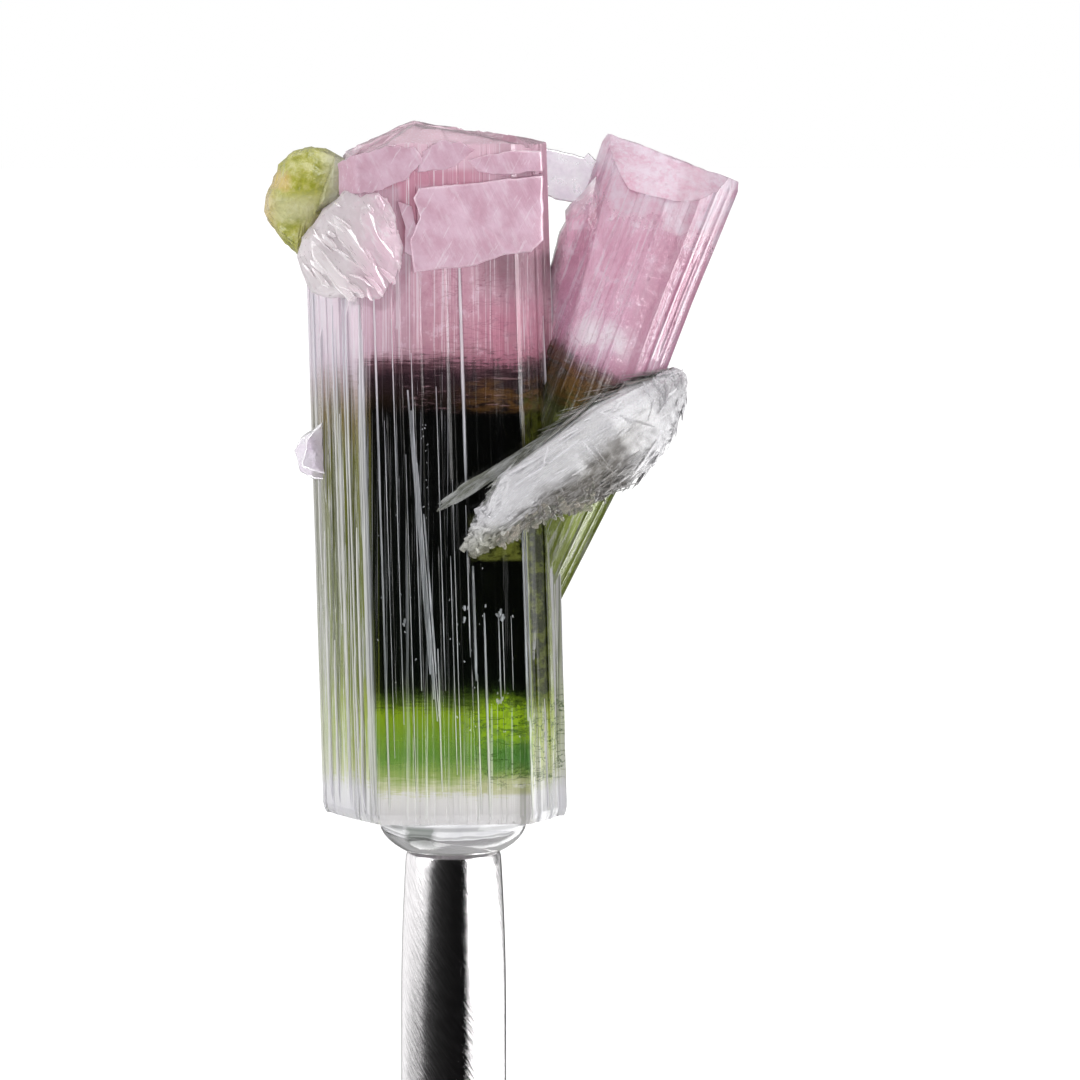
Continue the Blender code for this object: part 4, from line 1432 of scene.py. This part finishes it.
def blade_material():
    g = Graph("white_blades", IOR=1.54, Transmission_Weight=0.4)
    height = g.z
    along = g.turned_position(0.66)
    lines = g.noise((0.6, 5.0, 5.0), detail=5.0, roughness=0.7, vector=along)
    blotches = g.noise((0.6, 0.6, 0.6), detail=4.0)
    rise = g.plus(g.parts(along)[2], g.times(blotches, 2.0), -1.0)
    end = g.step(g.x, 9.0, 12.5)
    crest = g.math("MAXIMUM", g.step(rise, 29.2, 30.6), g.times(end, 0.85))
    colour = g.mix(crest, (0.21, 0.195, 0.18), (0.80, 0.79, 0.82))
    streak = g.times((lines, 0.50, 0.64), g.plus(0.25, g.times(crest, 0.35)))
    colour = g.mix(streak, colour, (0.88, 0.88, 0.90))
    furrow = g.times((lines, 0.46, 0.34), g.plus(0.55, g.times(crest, -0.45)))
    colour = g.mix(furrow, colour, (0.26, 0.24, 0.22))
    lumps = g.noise((2.2, 2.2, 2.2), detail=4.0, roughness=0.65)
    colour = g.layers(colour, ((0.20, 0.18, 0.16), (crest, 0.7, 0.0), (lumps, 0.50, 0.36), 0.35))
    low = g.step(height, 40.8, 39.0)
    colour = g.layers(colour, ((0.34, 0.35, 0.20), low, 0.4))
    roughness = g.step(lines, 0.3, 0.7, 0.16, 0.36)
    normal = g.bump(lines, 0.35, 0.07)
    return g.finished(colour, normal, roughness)


def fringe_material():
    g = Graph("clear_blades", Roughness=0.14, IOR=1.54, Transmission_Weight=0.8)
    lines = g.noise((0.6, 5.0, 5.0), detail=5.0, roughness=0.7, vector=g.turned_position(0.66))
    below = g.step(g.plus(g.z, g.times(g.x, -0.72)), 38.6, 37.4)
    pale = g.mix(below, (0.88, 0.89, 0.88), (0.86, 0.80, 0.72))
    colour = g.mix(g.step(lines, 0.40, 0.60), (0.46, 0.47, 0.41), pale)
    normal = g.bump(lines, 0.35, 0.07)
    return g.finished(colour, normal)


def bridge_material():
    g = Graph("clear_flakes", Roughness=0.2, IOR=1.56, Transmission_Weight=0.7)
    blotches = g.noise((0.9, 0.9, 0.9), detail=4.0)
    colour = g.mix(g.step(blotches, 0.35, 0.65), (0.88, 0.80, 0.90), (0.97, 0.95, 0.99))
    roughness = g.step(blotches, 0.3, 0.7, 0.08, 0.30)
    normal = g.bump(g.noise((2.6, 2.6, 2.6), detail=5.0), 0.5, 0.16)
    return g.finished(colour, normal, roughness)


def adhesive_material():
    g = Graph("clear_adhesive", Roughness=0.02, IOR=1.5, Transmission_Weight=1.0)
    x = g.x
    z = g.z
    slant = g.plus(x, g.times(g.noise((1.1, 1.1, 1.6)), 1.2), g.times(z, 0.25), -5.9)
    block = g.times((slant, -3.1, -2.5), (slant, -0.9, -1.3), (z, 20.3, 20.9), (z, 22.0, 21.7))
    line = g.times((z, 21.60, 21.72), (z, 21.98, 21.84))
    clear = g.mix(g.step(g.noise((0.6, 0.6, 0.9)), 0.4, 0.6), (0.80, 0.80, 0.83), (0.97, 0.97, 0.98))
    clear = g.layers(clear, ((0.14, 0.14, 0.14), line, 0.7))
    colour = g.mix(g.times(block, 0.9), clear, (0.06, 0.08, 0.06))
    normal = g.bump(g.noise((0.5, 0.5, 0.6), detail=1.0), 0.2, 0.5)
    return g.finished(colour, normal)


def rod_material():
    g = Graph("polished_steel", Metallic=1.0, Roughness=0.10)
    angle = g.math("ARCTAN2", g.x, g.math("MULTIPLY", g.y, -1.0))
    turn = g.math("MULTIPLY", angle, ROD_RADIUS)
    wrapped = g.node("ShaderNodeCombineXYZ", X=turn, Y=g.z, Z=0.0)
    brushed = g.stretch(wrapped.outputs[0], (1.0, 1.0, 1.0), turn=(0.0, 0.0, math.radians(55)))
    marks = g.noise((0.8, 7.0, 1.0), detail=5.0, roughness=0.7, vector=brushed)
    colour = g.mix(g.step(marks, 0.38, 0.62), (0.74, 0.72, 0.73), (0.93, 0.91, 0.92))
    roughness = g.step(marks, 0.35, 0.70, 0.05, 0.16)
    normal = g.bump(marks, 0.3, 0.05)
    return g.finished(colour, normal, roughness)


# The stage


def floor():
    """A wide pale floor that the rod's lower end touches."""
    size = FLOOR_REACH * MM
    data = bpy.data.meshes.new("floor")
    corners = [(-size, -size, 0), (size, -size, 0), (size, size, 0), (-size, size, 0)]
    data.from_pydata(corners, [], [(0, 1, 2, 3)])
    material = bpy.data.materials.new("pale_floor")
    material.use_nodes = True
    shader = material.node_tree.nodes["Principled BSDF"]
    for socket, value in (
        ("Base Color", (0.88, 0.88, 0.88, 1.0)),
        ("Roughness", 0.9),
        ("Specular IOR Level", 0.0),
        ("Emission Color", (1.0, 1.0, 1.0, 1.0)),
        ("Emission Strength", 0.25),
    ):
        shader.inputs[socket].default_value = value
    data.materials.append(material)
    made = linked("floor", data)
    made.visible_glossy = False


# Brightness that reflections see: by degrees to the right of the camera and by the sine of the height,
# and brightness that the view through clear crystal sees, from in front of the object to behind it
STUDIO_ROUND = (
    (-180.0, 0.215),
    (-62.0, 0.215),
    (-56.0, 0.18),
    (-50.0, 0.05),
    (-44.0, 0.016),
    (-26.0, 0.004),
    (0.0, 0.001),
    (36.0, 0.001),
    (41.0, 1.0),
    (86.0, 1.0),
    (100.0, 0.24),
    (118.0, 0.24),
    (121.0, 0.05),
    (143.0, 0.05),
    (148.0, 0.24),
    (180.0, 0.24),
)
STUDIO_SIDES = ((-180.0, 0.40), (-160.0, 0.40), (-154.0, 1.0), (148.0, 1.0), (154.0, 0.12), (180.0, 0.12))
STUDIO_STEEP = ((-1.0, 0.14), (-0.60, 0.14), (-0.42, 0.0), (0.55, 0.0), (0.75, 0.30), (1.0, 0.30))
STUDIO_THROUGH = ((-1.0, 0.05), (-0.6, 0.10), (-0.2, 1.0), (1.0, 1.0))


def world():
    """White light from all sides. Reflections see a darker studio in front of the object and behind it."""
    made = bpy.data.worlds.new("studio")
    made.use_nodes = True
    bpy.context.scene.world = made
    g = Nodes(made.node_tree)
    background = g.tree.nodes["Background"]
    direction = g.node("ShaderNodeTexCoord").outputs["Generated"]
    x, y, z = g.node("ShaderNodeSeparateXYZ", Vector=direction).outputs
    degrees = g.math("MULTIPLY", g.math("ARCTAN2", x, g.math("MULTIPLY", y, -1.0)), 180 / math.pi)
    wide = g.math("MINIMUM", g.math("ADD", 1.0, g.math("MULTIPLY", z, 1.65)), 1.0)
    steep = g.math("MINIMUM", g.math("ADD", 1.42, g.math("MULTIPLY", z, 5.0)), 1.0)
    steep = g.math("MAXIMUM", steep, 0.3)
    turned = g.math("MAXIMUM", g.math("MULTIPLY", degrees, wide), g.math("MULTIPLY", degrees, steep))
    around = g.ramp(turned, STUDIO_ROUND, -180.0, 180.0)
    around = g.times(around, g.ramp(degrees, STUDIO_SIDES, -180.0, 180.0))
    mirrored = g.times(g.math("MAXIMUM", around, g.ramp(z, STUDIO_STEEP, -1.0, 1.0)), SOFTBOX)
    path = g.node("ShaderNodeLightPath").outputs
    strength = 1.0
    for share, value in (
        (path["Is Glossy Ray"], mirrored),
        (path["Is Transmission Ray"], g.ramp(y, STUDIO_THROUGH, -1.0, 1.0)),
    ):
        blend = g.node("ShaderNodeMix", {"data_type": "FLOAT"})
        for socket, given in ((0, share), (2, strength), (3, value)):
            g.put(blend.inputs[socket], given)
        strength = blend.outputs[0]
    g.put(background.inputs["Strength"], strength)
    background.inputs["Color"].default_value = (1.0, 1.0, 1.0, 1.0)


def area_light(name, place, power, size=120.0):
    light = bpy.data.lights.new(name, "AREA")
    light.size = size * MM
    light.energy = power
    made = linked(name, light)
    made.location = Vector(place) * MM
    made.rotation_mode = "QUATERNION"
    made.rotation_quaternion = (Vector(place) - VIEW_TARGET).to_track_quat("Z", "Y")


def camera():
    data = bpy.data.cameras.new("camera")
    made = linked("camera", data)
    back = Vector((0.0, -math.cos(VIEW_ELEVATION), math.sin(VIEW_ELEVATION)))
    made.location = (VIEW_TARGET + back * VIEW_DISTANCE) * MM
    made.rotation_mode = "QUATERNION"
    made.rotation_quaternion = back.to_track_quat("Z", "Y")
    data.sensor_width = SENSOR
    data.lens = VIEW_DISTANCE * SENSOR / VIEW_WIDTH
    data.clip_start = 0.01
    bpy.context.scene.camera = made


def main():
    camera()
    floor()
    world()
    area_light("left_softbox", (-220.0, -60.0, 90.0), power=0.12)
    area_light("right_softbox", (230.0, -90.0, 110.0), power=0.20)
    bpy.context.scene.view_settings.view_transform = "Standard"
    striae = tall_striae()
    white = (sheaf_body, sheaf_blades, sheaf_needles, grains)
    stone = ("tourmaline", (CLUSTER,))
    glue = ("clear_adhesive", ("adhesive",))
    steel = ("polished_steel", ("holder_rod",))
    pieces = (
        # name, parts, material, slot and replaced nodes, angle in degrees above which an edge is sharp
        ("tall_prism", (tall_prism,), tall_material, stone, None),
        ("clear_ridges", (pale_ridges, bright_grains), ridge_material, stone, None),
        ("leaning_prism", (leaning_prism, leaning_flank), leaning_material, stone, None),
        ("green_crystal", (green_crystal,), green_material, stone, None),
        ("left_crust", (left_crust,), crust_material, stone, None),
        ("frosted_plates", (frosted_plates,), frosted_material, stone, 50),
        ("clear_flakes", (bridge, left_flake), bridge_material, stone, 30),
        ("clear_blades", (sheaf_fringe, sheaf_apron), fringe_material, stone, 35),
        ("white_blades", white, blade_material, stone, 35),
        ("clear_drop", (adhesive,), adhesive_material, glue, 40),
        ("rod", (rod,), rod_material, steel, 40),
    )
    on_prism = (tall_prism, pale_ridges, bright_grains, frosted_plates)
    for name, parts, material, (slot, nodes), sharp_angle in pieces:
        mesh = Mesh()
        for part in parts:
            if part in on_prism:
                part(mesh, striae)
            else:
                part(mesh)
        build(mesh, name, material(), nodes, sharp_angle)


main()
